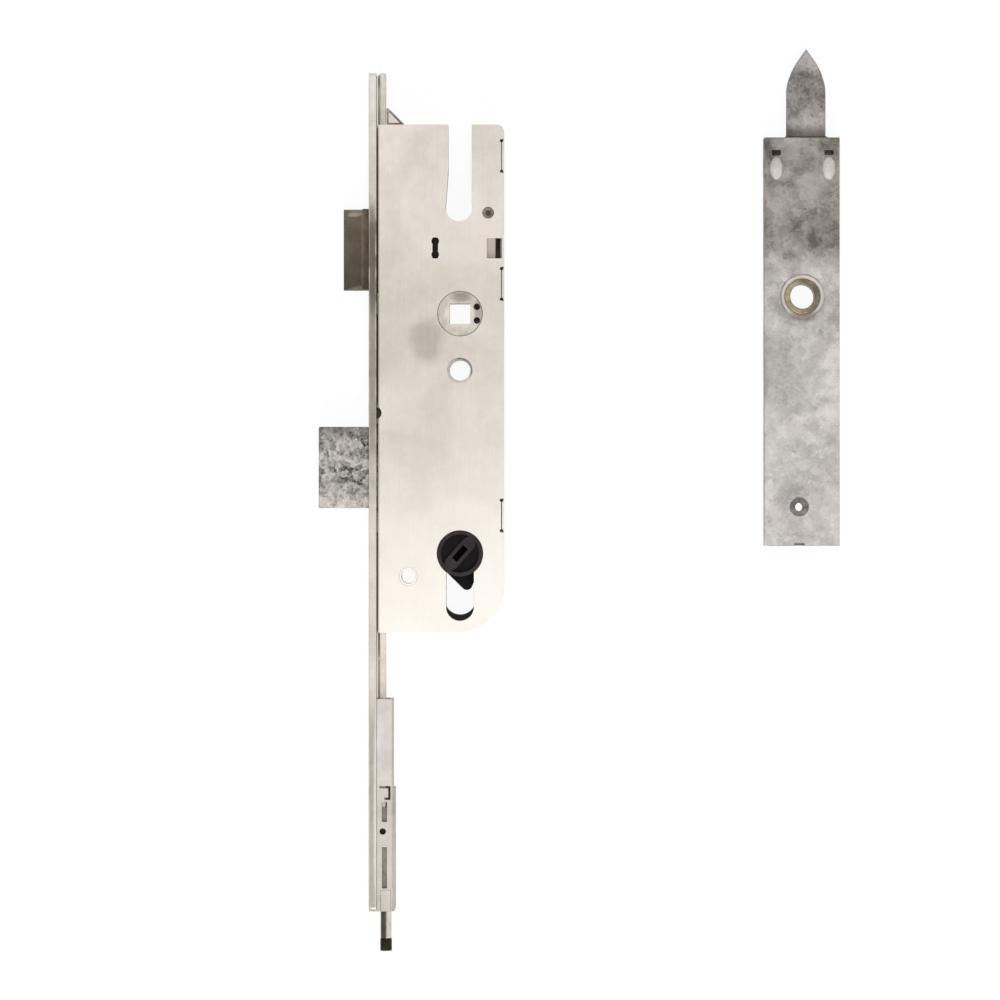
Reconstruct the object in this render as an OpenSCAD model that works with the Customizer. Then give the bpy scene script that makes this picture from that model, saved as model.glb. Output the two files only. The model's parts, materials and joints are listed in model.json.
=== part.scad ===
// Multipoint door lock with its separate reversing shootbolt unit.
// The lock lies on its side: +X runs from the faceplate to the rear of the case,
// +Y up the door, +Z along the spindle. The origin is on the spindle axis, on the resting plane.

/* [Faceplate] */
// Front face of the faceplate to the spindle axis
backset = 35; // [34:0.5:45]
// Thickness of the faceplate
faceplate_t = 3; // [2.5:0.25:3.5]
// Width of the faceplate
faceplate_w = 16; // [16:0.5:20]
// Top end of the faceplate above the spindle
rail_up = 92.4; // [90:0.2:300]
// Bottom end of the faceplate below the spindle
rail_down = 229.4; // [226:0.2:900]
// Corner radius at the faceplate's ends
faceplate_corner = 2; // [0.5:0.25:6]
// Core hole of a countersunk fixing screw
fixing_hole_d = 4.5; // [3.5:0.1:5.5]
// Countersink of a fixing screw
fixing_head_d = 8; // [6.5:0.25:10]
// Upper fixing hole below the faceplate's top end
upper_fixing_in = 7; // [5.5:0.5:12]
// Lower fixing hole below the case
lower_fixing_drop = 11; // [9:0.5:13]
// Hole of the screw that holds the cylinder
cylinder_screw_d = 5.3; // [4.5:0.1:6]

/* [Case] */
// Spindle axis to the rear face of the case
case_rear = 17; // [16.5:0.25:25]
// Top of the case above the spindle
case_top = 72.5; // [70:0.5:74]
// Bottom of the case below the cylinder axis
case_below = 30.4; // [29:0.2:34]
// Outside depth of the case
case_depth = 15; // [15:0.25:16]
// Sheet thickness of the case
sheet = 1.5; // [1.2:0.1:1.7]
// Radius of the upper rear corner
corner_small = 3; // [2:0.5:6]
// Radius of the lower rear corner
corner_big = 18; // [10:0.5:20]
// Width of the slot in the top edge
top_slot_w = 9; // [7:0.25:10]
// Lower end of the top slot above the spindle
top_slot_floor = 35.4; // [34:0.2:45]
// Diameter of the round end of the top slot
top_slot_end_d = 10.2; // [8:0.2:11]
// Height of each rear tab
tab_h = 13; // [8:0.5:16]
// Depth of each rear tab's notch
tab_depth = 1.2; // [1.1:0.1:2]
// Diameter of the case rivet
rivet_d = 4.4; // [3:0.2:6]
// Faceplate to the cover's front edge
cover_back = 0.5; // [0.4:0.1:1.1]
// Hole in front of the cylinder
fixing_tube_bore = 5.4; // [4:0.2:6]
// Wall of the eyelets in the case
eyelet_wall = 0.8; // [0.6:0.1:1.2]

/* [Handle follower] */
// Across the flats of the spindle square
spindle_square = 8; // [7:0.1:9]
// Diameter of the follower's collar
follower_d = 17; // [15:0.25:18]
// Diameter of the follower's body between the plates
follower_body_d = 21; // [19:0.25:22]
// Turn of the handle
handle_angle = 45; // [35:1:48]
// Handle screw hole below the spindle
handle_screw_drop = 21.7; // [20:0.1:24]
// Bore of the handle screw hole
handle_screw_d = 8; // [6:0.1:8.5]
// Diameter of the drive pin and the throw pin
pin_d = 3; // [2.5:0.1:3.4]

/* [Drive bar] */
// Lift of the drive bar
drive_throw = 14; // [10:0.5:15]
// Faceplate to the drive bar
bar_back = 1.2; // [0.4:0.1:1.3]
// Thickness of the drive bar
bar_t = 2.3; // [2:0.1:2.7]
// Width of the drive bar
bar_w = 8.6; // [7.5:0.1:9]
// Thickness of the drive slide
slide_t = 1.5; // [1.2:0.1:1.6]

/* [Latch and deadbolt] */
// Thickness of both bolts
bolt_t = 8; // [7.5:0.1:8.2]
// Reach of the latch in front of the faceplate
latch_out = 9.9; // [7:0.1:10]
// Lower end of the latch above the spindle
latch_low = 9.2; // [9:0.1:10]
// Height of the latch
latch_h = 31.2; // [28:0.2:31.6]
// Reach of the deadbolt in front of the faceplate
dead_out = 19.3; // [14:0.1:20]
// Top of the deadbolt above the cylinder axis
dead_rise = 48.6; // [47.5:0.2:49.4]
// Height of the deadbolt
dead_h = 31.2; // [27:0.2:31.6]

/* [Cylinder hub] */
// Spindle to cylinder centres
centres = 92; // [90:0.5:94]
// Diameter of the round part of the cylinder hole
cylinder_d = 17.8; // [17:0.1:18.4]
// Width of the cylinder hole's lower slot
profile_w = 10.6; // [9.5:0.1:11]
// Lower end of that slot below the cylinder axis
profile_drop = 25.8; // [24:0.2:27]
// Thickness of the slot's lining
liner_t = 2.1; // [1.2:0.1:2.5]
// Turn of the key
key_angle = 70; // [60:1:75]
// Reach of the hub's lobe
lobe_reach = 14.4; // [12:0.1:14.6]

/* [Bottom bolt] */
// Length of the bolt housing
housing_len = 81.6; // [78:0.2:84]
// Depth of the housing behind the faceplate's front face
housing_depth = 10.2; // [9.8:0.1:11]
// Diameter of the bottom bolt
rod_d = 4.2; // [3.6:0.1:4.6]
// Reach of the bottom bolt below the faceplate
rod_out = 15.6; // [14.5:0.1:18]
// Diameter of the bottom bolt's tip
rod_tip_d = 4.5; // [4.3:0.1:5]

/* [Shootbolt unit] */
// Centre of the unit to the right of the spindle
unit_x = 131.5; // [125:0.1:160]
// Pivot of the unit above the spindle
unit_y = 6.8; // [0:0.2:20]
// Width of the unit
unit_w = 29; // [28.8:0.1:32]
// Pivot to the unit's top end
unit_up = 61.2; // [58:0.2:70]
// Pivot to the unit's bottom end
unit_down = 96; // [90:0.2:110]
// Thickness of the unit
unit_t = 10; // [9:0.1:12]
// Wall of the unit's body
unit_wall = 2; // [1.6:0.1:2.2]
// Thickness of the unit's cover
unit_cover_t = 1.5; // [1.2:0.1:1.8]
// Width of the pointed tongue
tongue_w = 14.9; // [13:0.1:15]
// Reach of the tongue above the unit
tongue_out = 34; // [28:0.2:36]
// Length of the tongue's point
tongue_point = 14; // [8:0.5:16]
// Throw of the tongue
tongue_throw = 14; // [10:0.5:15]
// Bore of the pivot eyelet
pivot_bore = 9.4; // [8:0.1:10]
// Outside of the pivot eyelet's ring
pivot_ring_d = 13.6; // [12:0.1:15]
// Bore of the lower eyelet
low_bore = 3.3; // [2.5:0.1:4]
// Outside of the lower eyelet's ring
low_ring_d = 7.3; // [6:0.1:9]
// Lower eyelet below the pivot
low_drop = 81; // [78:0.2:83]
// Tooth size of the rack and pinion
tooth_module = 1.25; // [1.2:0.01:1.25]

/* [Hidden] */
$fn = 64;

// Clearances
fit = 0.02;
turn_fit = 0.06;
run_gap = 0.2;
bolt_gap = 0.3;
pin_gap = 0.4;
eps = 0.01;
through = 50;

// Colours
zinc = [0.86, 0.84, 0.80];
steel = [0.62, 0.60, 0.57];
bronze = [0.50, 0.45, 0.32];
black = [0.12, 0.10, 0.10];
olive = [0.38, 0.34, 0.28];

// Levels and faces that the pieces share
front_x = -backset;
back_x = front_x + faceplate_t;
mid_z = faceplate_w / 2;
case_bottom = centres + case_below;
case_z0 = mid_z - case_depth / 2;
case_z1 = mid_z + case_depth / 2;
in_z0 = case_z0 + sheet;
in_z1 = case_z1 - sheet;
slide_z0 = in_z0 + run_gap;
slide_z1 = slide_z0 + slide_t;
bolt_z0 = slide_z1 + bolt_gap;
bolt_z1 = bolt_z0 + bolt_t;
bolt_mid = (bolt_z0 + bolt_z1) / 2;
tail_t = 4;
tail_z0 = bolt_mid - tail_t / 2;
tail_z1 = bolt_mid + tail_t / 2;
cover_x0 = back_x + cover_back;
bar_x0 = back_x + bar_back;
bar_x1 = bar_x0 + bar_t;
bar_z0 = slide_z1;
bar_z1 = bar_z0 + bar_w;
bar_mid_z = (bar_z0 + bar_z1) / 2;

// A box between two corners
module block(low, high) {
    translate(low) cube(high - low);
}

// A flat rectangle between two corners
module panel(low, high) {
    translate(low) square(high - low);
}

// A rod along X, Y or Z from a start point
module rod_x(from, len, d) {
    translate(from) rotate([0, 90, 0]) cylinder(h = len, d = d);
}

module rod_y(from, len, d) {
    translate(from) rotate([-90, 0, 0]) cylinder(h = len, d = d);
}

module rod_z(from, len, d) {
    translate(from) cylinder(h = len, d = d);
}

// A flat bar with round ends between two points
module round_bar(a, b, w) {
    run = b - a;
    translate(a) circle(d = w);
    translate(b) circle(d = w);
    translate(a) rotate(atan2(run[1], run[0])) translate([0, -w / 2]) square([norm(run), w]);
}

// A countersunk screw or its hole along +X, head face at the start point
module sunk_screw(from, len, d, head_d) {
    rod_x(from, len, d);
    translate(from) rotate([0, 90, 0]) cylinder(h = (head_d - d) / 2, d1 = head_d, d2 = d);
}

// Fixing holes and case lugs along the faceplate
upper_fixing_y = rail_up - upper_fixing_in;
lower_fixing_y = -case_bottom - lower_fixing_drop;
screw_d = 4;
screw_head_d = 7;
screw_len = 7.5;
lug_h = 8;
lug_depth = 5;
lug_margin = 1.3;
latch_high = latch_low + latch_h;
dead_high = dead_rise - centres;
dead_low = dead_high - dead_h;
lug_ys = [latch_low - lug_margin - lug_h / 2, dead_high + lug_margin + lug_h / 2,
    dead_low - lug_margin - lug_h / 2];

module faceplate_plan() {
    r = faceplate_corner;
    for (y = [r - rail_down, rail_up - r])
        for (z = [r, faceplate_w - r])
            translate([y, z]) circle(r);
    panel([r - rail_down, 0], [rail_up - r, faceplate_w]);
    panel([-rail_down, r], [rail_up, faceplate_w - r]);
}

module faceplate() {
    color(steel) difference() {
        translate([front_x, 0, 0]) rotate([90, 0, 90]) linear_extrude(faceplate_t) faceplate_plan();
        block([front_x - 1, latch_low - bolt_gap, bolt_z0 - bolt_gap],
            [back_x + 1, latch_high + bolt_gap, bolt_z1 + bolt_gap]);
        block([front_x - 1, dead_low - bolt_gap, bolt_z0 - bolt_gap],
            [back_x + 1, dead_high + bolt_gap, bolt_z1 + bolt_gap]);
        for (y = [upper_fixing_y, lower_fixing_y])
            sunk_screw([front_x, y, bar_mid_z], through / 10, fixing_hole_d, fixing_head_d);
        for (y = lug_ys)
            sunk_screw([front_x, y, bolt_mid], screw_len, screw_d + fit, screw_head_d + fit);
        rod_x([front_x - 1, -centres, bolt_mid], through / 10, cylinder_screw_d);
        for (z = housing_rivet_zs)
            rod_x([front_x - 1, housing_rivet_y, z], through / 10, housing_rivet_d + fit);
    }
}

module case_lugs() {
    color(black) difference() {
        for (y = lug_ys)
            block([back_x, y - lug_h / 2, bolt_z0], [back_x + lug_depth, y + lug_h / 2, in_z1]);
        for (y = lug_ys)
            rod_x([back_x - 1, y, bolt_mid], screw_len, screw_d + fit);
        rod_z([edge_notch_at[0], edge_notch_at[1], in_z1 - edge_notch_drop], through, edge_notch_d);
    }
}

module case_screws() {
    color(steel) for (y = lug_ys) difference() {
        sunk_screw([front_x, y, bolt_mid], screw_len, screw_d, screw_head_d);
        driver_cross([front_x, y, bolt_mid]);
    }
}

// Cross recess in a screw head that faces -X
module driver_cross(at) {
    arm = screw_head_d * 0.3;
    for (turn = [0, 90])
        translate(at) rotate([turn, 0, 0]) cube([screw_d * 0.6, arm * 2, arm * 0.4], center = true);
}

// The case in plan, with its walls moved in by a distance; the front edge stays at the faceplate
module case_plan(inset = 0) {
    difference() {
        panel([back_x, inset - case_bottom], [case_rear - inset, case_top - inset]);
        corner_waste([case_rear - inset, case_top - inset], corner_small - inset, 1);
        corner_waste([case_rear - inset, inset - case_bottom], corner_big - inset, -1);
    }
}

// What rounding takes off a rear corner; up is 1 for an upper corner and -1 for a lower one
module corner_waste(corner, r, up) {
    difference() {
        translate(corner - [r, r * (up + 1) / 2]) square([r + eps, r]);
        translate(corner - [r, r * up]) circle(r);
    }
}

// Openings that go through both plates of the case
slot_shift = 0.4;
slot_y = top_slot_floor + top_slot_end_d / 2;
slot_taper = 14;
fixing_tube_at = [-19.8, -8.8 - centres];
rivet_at = [10.8, 38.7];
profile_end_y = profile_w / 2 - profile_drop - centres;

module top_slot() {
    translate([-slot_shift, slot_y]) circle(d = top_slot_end_d);
    panel([-top_slot_w / 2, slot_y], [top_slot_w / 2, case_top + 1]);
    polygon([[-top_slot_w / 2, slot_y + slot_taper], [0, slot_y],
        [-slot_shift - top_slot_end_d / 2, slot_y]]);
}

module profile_hole() {
    translate([0, -centres]) circle(d = cylinder_d);
    translate([0, profile_end_y]) circle(d = profile_w);
    panel([-profile_w / 2, profile_end_y], [profile_w / 2, -centres]);
}

module plate_holes() {
    top_slot();
    profile_hole();
    circle(d = follower_d + 2 * turn_fit);
    translate([0, -handle_screw_drop]) circle(d = handle_screw_d + 2 * eyelet_wall + fit);
    translate(fixing_tube_at) circle(d = fixing_tube_bore + 2 * eyelet_wall + fit);
    translate(rivet_at) circle(d = rivet_d + fit);
}

// Rear tabs that hold the cover on the tray
tab_ys = [60.5, 11.4, -77.4];
tab_gap = 0.3;
relief_d = 1.3;
relief_drop = 2;
window_low = [10.3, 21.2];
window_h = 7.7;
window_wall_cut = 4;
spring_seat_y = -17.5;
spring_seat_x = 10.4;

// Round holes at both ends of a tab
module tab_reliefs(y) {
    for (end = [-1, 1])
        translate([case_rear - tab_depth + tab_gap / 2, y + end * (tab_h - relief_d) / 2])
            circle(d = relief_d);
}

module tab_notch(y) {
    panel([case_rear - tab_depth, y - tab_h / 2], [case_rear + 1, y + tab_h / 2]);
    tab_reliefs(y);
}

module window() {
    panel(window_low, [case_rear - sheet * 0.6, window_low[1] + window_h]);
}

module case_wall() {
    difference() {
        case_plan();
        case_plan(sheet);
        top_slot();
        panel([back_x - 1, -case_bottom - 1], [bar_x1 + bolt_gap, case_top + 1]);
    }
}

module case_tray() {
    color(zinc) difference() {
        union() {
            translate([0, 0, case_z0]) linear_extrude(sheet) difference() {
                case_plan();
                plate_holes();
            }
            translate([0, 0, in_z0 - eps]) linear_extrude(in_z1 - in_z0 + eps) case_wall();
            for (y = tab_ys)
                block([case_rear - tab_depth + tab_gap, y - tab_h / 2 + tab_gap, in_z1 - eps],
                    [case_rear, y + tab_h / 2 - tab_gap, case_z1]);
            block([spring_seat_x, spring_seat_y - sheet, in_z0 - eps],
                [case_rear - sheet + eps, spring_seat_y, bolt_mid]);
        }
        translate([0, 0, in_z1 - window_wall_cut]) linear_extrude(window_wall_cut + 1) window();
        translate([0, 0, in_z1 - relief_drop]) linear_extrude(relief_drop + sheet + 1)
            for (y = tab_ys)
                tab_reliefs(y);
    }
}

// Dog-bone slot that the spring guide's tab stands in
guide_x = -9.5;
guide_slot_w = 2.1;
guide_slot_low = 21.2;
guide_slot_h = 8;
guide_slot_end_d = 2.9;
flange_z0 = max(bolt_z1, bar_z1) + run_gap;
edge_notch_d = 4.8;
edge_notch_in = 1.4;
edge_notch_drop = 3;
edge_notch_at = [cover_x0 + edge_notch_in - edge_notch_d / 2, lug_ys[1]];

module guide_slot() {
    panel([guide_x - guide_slot_w / 2, guide_slot_low],
        [guide_x + guide_slot_w / 2, guide_slot_low + guide_slot_h]);
    for (y = [guide_slot_end_d / 2, guide_slot_h - guide_slot_end_d / 2])
        translate([guide_x, guide_slot_low + y]) circle(d = guide_slot_end_d);
}

module case_cover() {
    color(zinc) difference() {
        union() {
            translate([0, 0, in_z1]) linear_extrude(sheet) difference() {
                case_plan();
                panel([back_x - 1, -case_bottom - 1], [cover_x0, case_top + 1]);
                plate_holes();
                circle(d = follower_d + 2 * run_gap);
                for (y = tab_ys)
                    tab_notch(y);
                window();
                guide_slot();
            }
            block([cover_x0, -case_bottom, flange_z0], [cover_x0 + sheet, case_top, in_z1 + eps]);
        }
        for (y = lug_ys)
            block([back_x - 1, y - lug_h / 2 - fit, flange_z0 - 1],
                [cover_x0 + sheet + 1, y + lug_h / 2 + fit, in_z1]);
        rod_z([edge_notch_at[0], edge_notch_at[1], flange_z0], through, edge_notch_d);
    }
}

module eyelet(at, bore) {
    translate([at[0], at[1], case_z0]) difference() {
        cylinder(h = case_depth, d = bore + 2 * eyelet_wall);
        translate([0, 0, -1]) cylinder(h = case_depth + 2, d = bore);
    }
}

module handle_sleeve() {
    color(steel) eyelet([0, -handle_screw_drop], handle_screw_d);
}

module fixing_tube() {
    color(steel) eyelet(fixing_tube_at, fixing_tube_bore);
}

module case_rivet() {
    color(steel) difference() {
        rod_z([rivet_at[0], rivet_at[1], case_z0], case_depth, rivet_d);
        rod_z([rivet_at[0], rivet_at[1], case_z1 - sheet / 2], sheet, rivet_d * 0.5);
    }
}

// Gusset on the case's top edge that steadies the drive bar
gusset = 7.2;

module bar_guide() {
    x = bar_x1 + bolt_gap;
    color(steel) translate([0, 0, bolt_z0]) linear_extrude(bolt_t)
        polygon([[x, case_top], [x + gusset, case_top], [x, case_top + gusset]]);
}

// A crescent in the lower half of a circle, with its points level with the middle
module crescent(r, t) {
    rise = t * (2 * r - t) / (2 * (r - t));
    difference() {
        circle(r);
        translate([0, rise]) circle(r - t + rise);
    }
}

// Black lining of the lower end of the cylinder hole, with a lip between the plates
liner_lip = 1.2;

module profile_liner() {
    color(black) translate([0, profile_end_y, 0]) {
        translate([0, 0, case_z0]) linear_extrude(case_depth) crescent(profile_w / 2 - fit, liner_t);
        translate([0, 0, in_z0 + fit]) linear_extrude(in_z1 - in_z0 - 2 * fit) intersection() {
            difference() {
                circle(profile_w / 2 + liner_lip);
                circle(profile_w / 2 - fit - eps);
            }
            panel([-profile_w, -profile_w], [profile_w, -profile_w / 4]);
        }
    }
}

// Drive slide: a leg behind the faceplate with a fork for the follower's pin
drive_r = drive_throw / (2 * sin(handle_angle / 2));
drive_pin_at = drive_r * [-cos(handle_angle / 2), -sin(handle_angle / 2)];
leg_w = 6.6;
leg_x1 = bar_x0 + leg_w;
leg_high = latch_high + 16;
leg_low = -case_bottom + sheet + 3.9;
fork_x1 = -14;
fork_half = 8;
fork_slot_half = pin_d / 2 + bolt_gap;
fork_depth_x = -drive_r - pin_d / 2 - pin_gap;
bar_overlap = 7;
upper_bar_low = latch_high + 1.6;
lower_bar_high = leg_low + bar_overlap;
drive_rivet_d = 1.6;
drive_rivet_ys = [upper_bar_low + 3, leg_high - 3, leg_low + 1.6, lower_bar_high - 1.6];
drive_rivet_x = (bar_x0 + bar_x1) / 2;
drive_rivet_len = slide_t + 3;

module drive_rivet_set(d) {
    for (y = drive_rivet_ys)
        rod_z([drive_rivet_x, y, slide_z0], drive_rivet_len, d);
}

module drive_slide() {
    color(steel) difference() {
        translate([0, 0, slide_z0]) linear_extrude(slide_t) difference() {
            union() {
                panel([bar_x0, leg_low], [leg_x1, leg_high]);
                panel([leg_x1 - eps, drive_pin_at[1] - fork_half], [fork_x1, drive_pin_at[1] + fork_half]);
            }
            panel([fork_depth_x, drive_pin_at[1] - fork_slot_half],
                [fork_x1 + 1, drive_pin_at[1] + fork_slot_half]);
        }
        drive_rivet_set(drive_rivet_d + fit);
    }
}

// A drive bar with a foot towards the faceplate, and a slot that a fixing screw passes through
screw_slot_w = fixing_hole_d + 2 * bolt_gap;
bar_foot = 2.2;

module drive_bar(low, high, screw_y) {
    color(steel) difference() {
        union() {
            block([bar_x0, low, bar_z0], [bar_x1, high, bar_z1]);
            block([back_x + bolt_gap, low, bar_z0], [bar_x0 + eps, high, bar_z0 + bar_foot]);
        }
        for (y = [screw_y - drive_throw, screw_y])
            rod_x([back_x, y, bar_mid_z], bar_back + bar_t + 1, screw_slot_w);
        block([back_x, screw_y - drive_throw, bar_mid_z - screw_slot_w / 2],
            [bar_x1 + 1, screw_y, bar_mid_z + screw_slot_w / 2]);
        drive_rivet_set(drive_rivet_d + fit);
        rod_z([connector_pin_at[0], connector_pin_at[1], 0], through, connector_pin_d + fit);
    }
}

module drive_bar_upper() {
    drive_bar(upper_bar_low, rail_up, upper_fixing_y);
}

module drive_bar_lower() {
    drive_bar(lower_bar_low, lower_bar_high, lower_fixing_y);
}

module drive_rivets() {
    color(steel) drive_rivet_set(drive_rivet_d);
}

// Follower: collars in both plates, a body between them and three arms
arm_t = 2;
arm_z0 = slide_z1 + 0.5;
arm_end_w = pin_d + 3;
latch_arm_r = latch_out / (2 * sin(handle_angle / 2));
latch_arm_w = 4;
latch_arm_t = 3;
latch_arm_at = latch_arm_r * [-sin(handle_angle / 2), cos(handle_angle / 2)];
spring_arm_w = 4;
spring_arm_x = case_rear - sheet - spring_arm_w / 2 - 0.4;
dot_d = 2.5;
dot_r = 7;
dot_angle = 22;
dot_depth = 3;

module follower() {
    color(zinc) difference() {
        union() {
            rod_z([0, 0, case_z0], case_depth, follower_d);
            rod_z([0, 0, in_z0 + run_gap], in_z1 - in_z0 - 2 * run_gap, follower_body_d);
            translate([0, 0, arm_z0]) linear_extrude(arm_t) round_bar([0, 0], drive_pin_at, arm_end_w);
            translate([0, 0, arm_z0]) linear_extrude(arm_t)
                round_bar([0, 0], [spring_arm_x, 0], spring_arm_w);
            translate([0, 0, bolt_mid - latch_arm_t / 2]) linear_extrude(latch_arm_t)
                round_bar([0, 0], latch_arm_at, latch_arm_w);
        }
        translate([0, 0, mid_z]) cube([spindle_square, spindle_square, through], center = true);
        for (turn = [-dot_angle, dot_angle])
            rotate(turn) rod_z([dot_r, 0, case_z1 - dot_depth], dot_depth + 1, dot_d);
        rod_z([drive_pin_at[0], drive_pin_at[1], 0], through, pin_d + fit);
    }
}

module drive_pin() {
    color(steel) rod_z([drive_pin_at[0], drive_pin_at[1], slide_z0], arm_z0 + arm_t - slide_z0, pin_d);
}

// A wound spring along +Z: one unbroken tube swept along a helix
spring_sides = 6;
rings_per_turn = 12;

function helix_point(turn, len, d, turns) =
    [d / 2 * cos(360 * turn), d / 2 * sin(360 * turn), len * turn / turns];

module coil_spring(len, d, wire, turns) {
    steps = turns * rings_per_turn;
    climb = atan2((len - wire) / turns, PI * d);
    ring = [for (i = [0 : steps])
        let (turn = i / rings_per_turn)
        for (s = [0 : spring_sides - 1])
            let (a = 360 * turn, b = 360 * s / spring_sides)
            let (out = wire / 2 * cos(b), up = wire / 2 * sin(b))
            helix_point(turn, len - wire, d, turns) + [0, 0, wire / 2]
                + out * [cos(a), sin(a), 0]
                + up * [sin(climb) * sin(a), -sin(climb) * cos(a), cos(climb)]];
    sides = [for (i = [0 : steps - 1])
        for (s = [0 : spring_sides - 1])
            let (low = i * spring_sides, next = (s + 1) % spring_sides)
            each [[low + s, low + next, low + spring_sides + s],
                [low + next, low + spring_sides + next, low + spring_sides + s]]];
    last = steps * spring_sides;
    caps = [for (s = [1 : spring_sides - 2])
        each [[0, s + 1, s], [last, last + s, last + s + 1]]];
    polyhedron(points = ring, faces = concat(sides, caps));
}

spring_d = 2.5;
spring_wire = 0.7;
spring_turns = 7;

module follower_spring() {
    seat = spring_seat_y + 0.1;
    color(steel) translate([spring_arm_x, seat, arm_z0 + arm_t / 2]) rotate([-90, 0, 0])
        coil_spring(-spring_arm_w / 2 - 0.1 - seat, spring_d, spring_wire, spring_turns);
}

// Latch: a bevelled nose, a narrower rear part and a tail that the follower pulls
nose_tip_t = 2;
nose_flat = 2.6;
nose_x1 = back_x + 1.5;
latch_rear_x = -20.6;
latch_step = 3.3;
latch_tail_low = latch_low + 7.8;
latch_tail_high = latch_low + 13.8;
latch_slot_depth = 5;
latch_rivet_d = 2;
latch_rivet_at = [latch_rear_x - latch_slot_depth / 2, (latch_tail_low + latch_tail_high) / 2];
latch_spring_y = latch_low + 21;
latch_spring_d = 5;
latch_spring_wire = 0.8;
latch_spring_turns = 4;
pocket_d = latch_spring_d + latch_spring_wire + 0.8;
pocket_depth = 5;
nose_chamfer = 2.4;

module latch_nose() {
    tip_x = front_x - latch_out;
    translate([0, latch_high, 0]) rotate([90, 0, 0]) linear_extrude(latch_h)
        polygon([[tip_x, bolt_z0], [nose_x1, bolt_z0], [nose_x1, bolt_z1],
            [front_x - nose_flat, bolt_z1], [tip_x, bolt_z0 + nose_tip_t]]);
}

// Sloped ends of the nose's bevel
module nose_ends() {
    tip_x = front_x - latch_out;
    for (side = [0, 1])
        translate([tip_x, side == 0 ? latch_low : latch_high, bolt_z0 + nose_tip_t])
            mirror([0, side, 0]) rotate([90, 0, 90]) translate([0, 0, -1])
                linear_extrude(latch_out - nose_flat + 1)
                    polygon([[-1, 0], [0, 0], [nose_chamfer, bolt_t], [-1, bolt_t]]);
}

module latch_bolt() {
    color(olive) difference() {
        union() {
            difference() {
                latch_nose();
                nose_ends();
            }
            block([nose_x1 - eps, latch_low + latch_step, bolt_z0],
                [latch_rear_x, latch_high - latch_step, bolt_z1]);
        }
        block([latch_rear_x - latch_slot_depth - fit, latch_tail_low - fit, tail_z0 - fit],
            [latch_rear_x + 1, latch_tail_high + fit, tail_z1 + fit]);
        rod_x([latch_rear_x - pocket_depth, latch_spring_y, bolt_mid], pocket_depth + 1, pocket_d);
        rod_z([latch_rivet_at[0], latch_rivet_at[1], 0], through, latch_rivet_d + fit);
    }
}

latch_leg_x = latch_arm_at[0] + latch_arm_w / 2 + bolt_gap;
latch_leg_w = 3.6;
latch_leg_low = max(follower_body_d / 2 + 0.5, latch_arm_at[1] + 0.6);

module latch_tail() {
    color(steel) difference() {
        translate([0, 0, tail_z0]) linear_extrude(tail_t) {
            panel([latch_rear_x - latch_slot_depth, latch_tail_low],
                [latch_leg_x + latch_leg_w, latch_tail_high]);
            panel([latch_leg_x, latch_leg_low], [latch_leg_x + latch_leg_w, latch_tail_low + eps]);
        }
        rod_z([latch_rivet_at[0], latch_rivet_at[1], 0], through, latch_rivet_d + fit);
    }
}

module latch_rivet() {
    color(steel) rod_z([latch_rivet_at[0], latch_rivet_at[1], bolt_z0], bolt_t, latch_rivet_d);
}

guide_t = 2;
guide_low = latch_tail_high + 1;
guide_high = guide_low + 12;
spigot_d = 3;
spigot_len = 3;
guide_tab_w = guide_slot_w - 0.6;
guide_tab_end = 0.5;

module spring_guide() {
    color(black) {
        block([guide_x - guide_t / 2, guide_low, in_z0], [guide_x + guide_t / 2, guide_high, in_z1]);
        block([guide_x - guide_t / 2, guide_slot_low - 1, tail_z1 + bolt_gap],
            [guide_x + guide_t / 2, guide_low + eps, in_z1]);
        block([guide_x - guide_tab_w / 2, guide_slot_low + guide_tab_end, in_z1 - eps],
            [guide_x + guide_tab_w / 2, guide_slot_low + guide_slot_h - guide_tab_end, in_z1 + sheet / 2]);
        rod_x([guide_x - guide_t / 2 - spigot_len, latch_spring_y, bolt_mid], spigot_len + eps, spigot_d);
    }
}

module latch_spring() {
    from = latch_rear_x - pocket_depth + 0.1;
    color(steel) translate([from, latch_spring_y, bolt_mid]) rotate([0, 90, 0])
        coil_spring(guide_x - guide_t / 2 - 0.1 - from,
            latch_spring_d, latch_spring_wire, latch_spring_turns);
}

// Pale block behind the window that keeps the end of the latch's tail down
tail_guide_x = [8.5, 13.6];
tail_guide_low = latch_tail_low - 1;
tail_guide_high = guide_slot_low + 10;

module tail_guide() {
    color(zinc) {
        block([tail_guide_x[0], tail_guide_low, tail_z1 + bolt_gap],
            [tail_guide_x[1], tail_guide_high, in_z1]);
        block([tail_guide_x[0], latch_tail_high + bolt_gap, in_z0],
            [tail_guide_x[1], tail_guide_high, tail_z1 + bolt_gap + eps]);
    }
}

// Deadbolt: the bolt, a tail plate with the throw slot, and a brake spring on its upper face
dead_rear_x = -22;
dead_slot_depth = 5;
dead_tail_x1 = -6;
dead_tail_high = dead_high - 11.6;
dead_neck_low = dead_low + 4.6;
dead_rivet_d = 2;
dead_rivet_ats = [for (side = [-1, 1])
    [dead_rear_x - dead_slot_depth / 2, (dead_tail_high + dead_neck_low) / 2 + side * 4]];
throw_r = dead_out / (2 * sin(key_angle / 2));
throw_pin_at = [-dead_out / 2, throw_r * cos(key_angle / 2) - centres];
throw_slot_half = pin_d / 2 + pin_gap;
dead_tail_low = throw_pin_at[1] - 2;
throw_slot_high = throw_r - centres + pin_d / 2 + pin_gap;
bolt_edge = 0.3;

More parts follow.
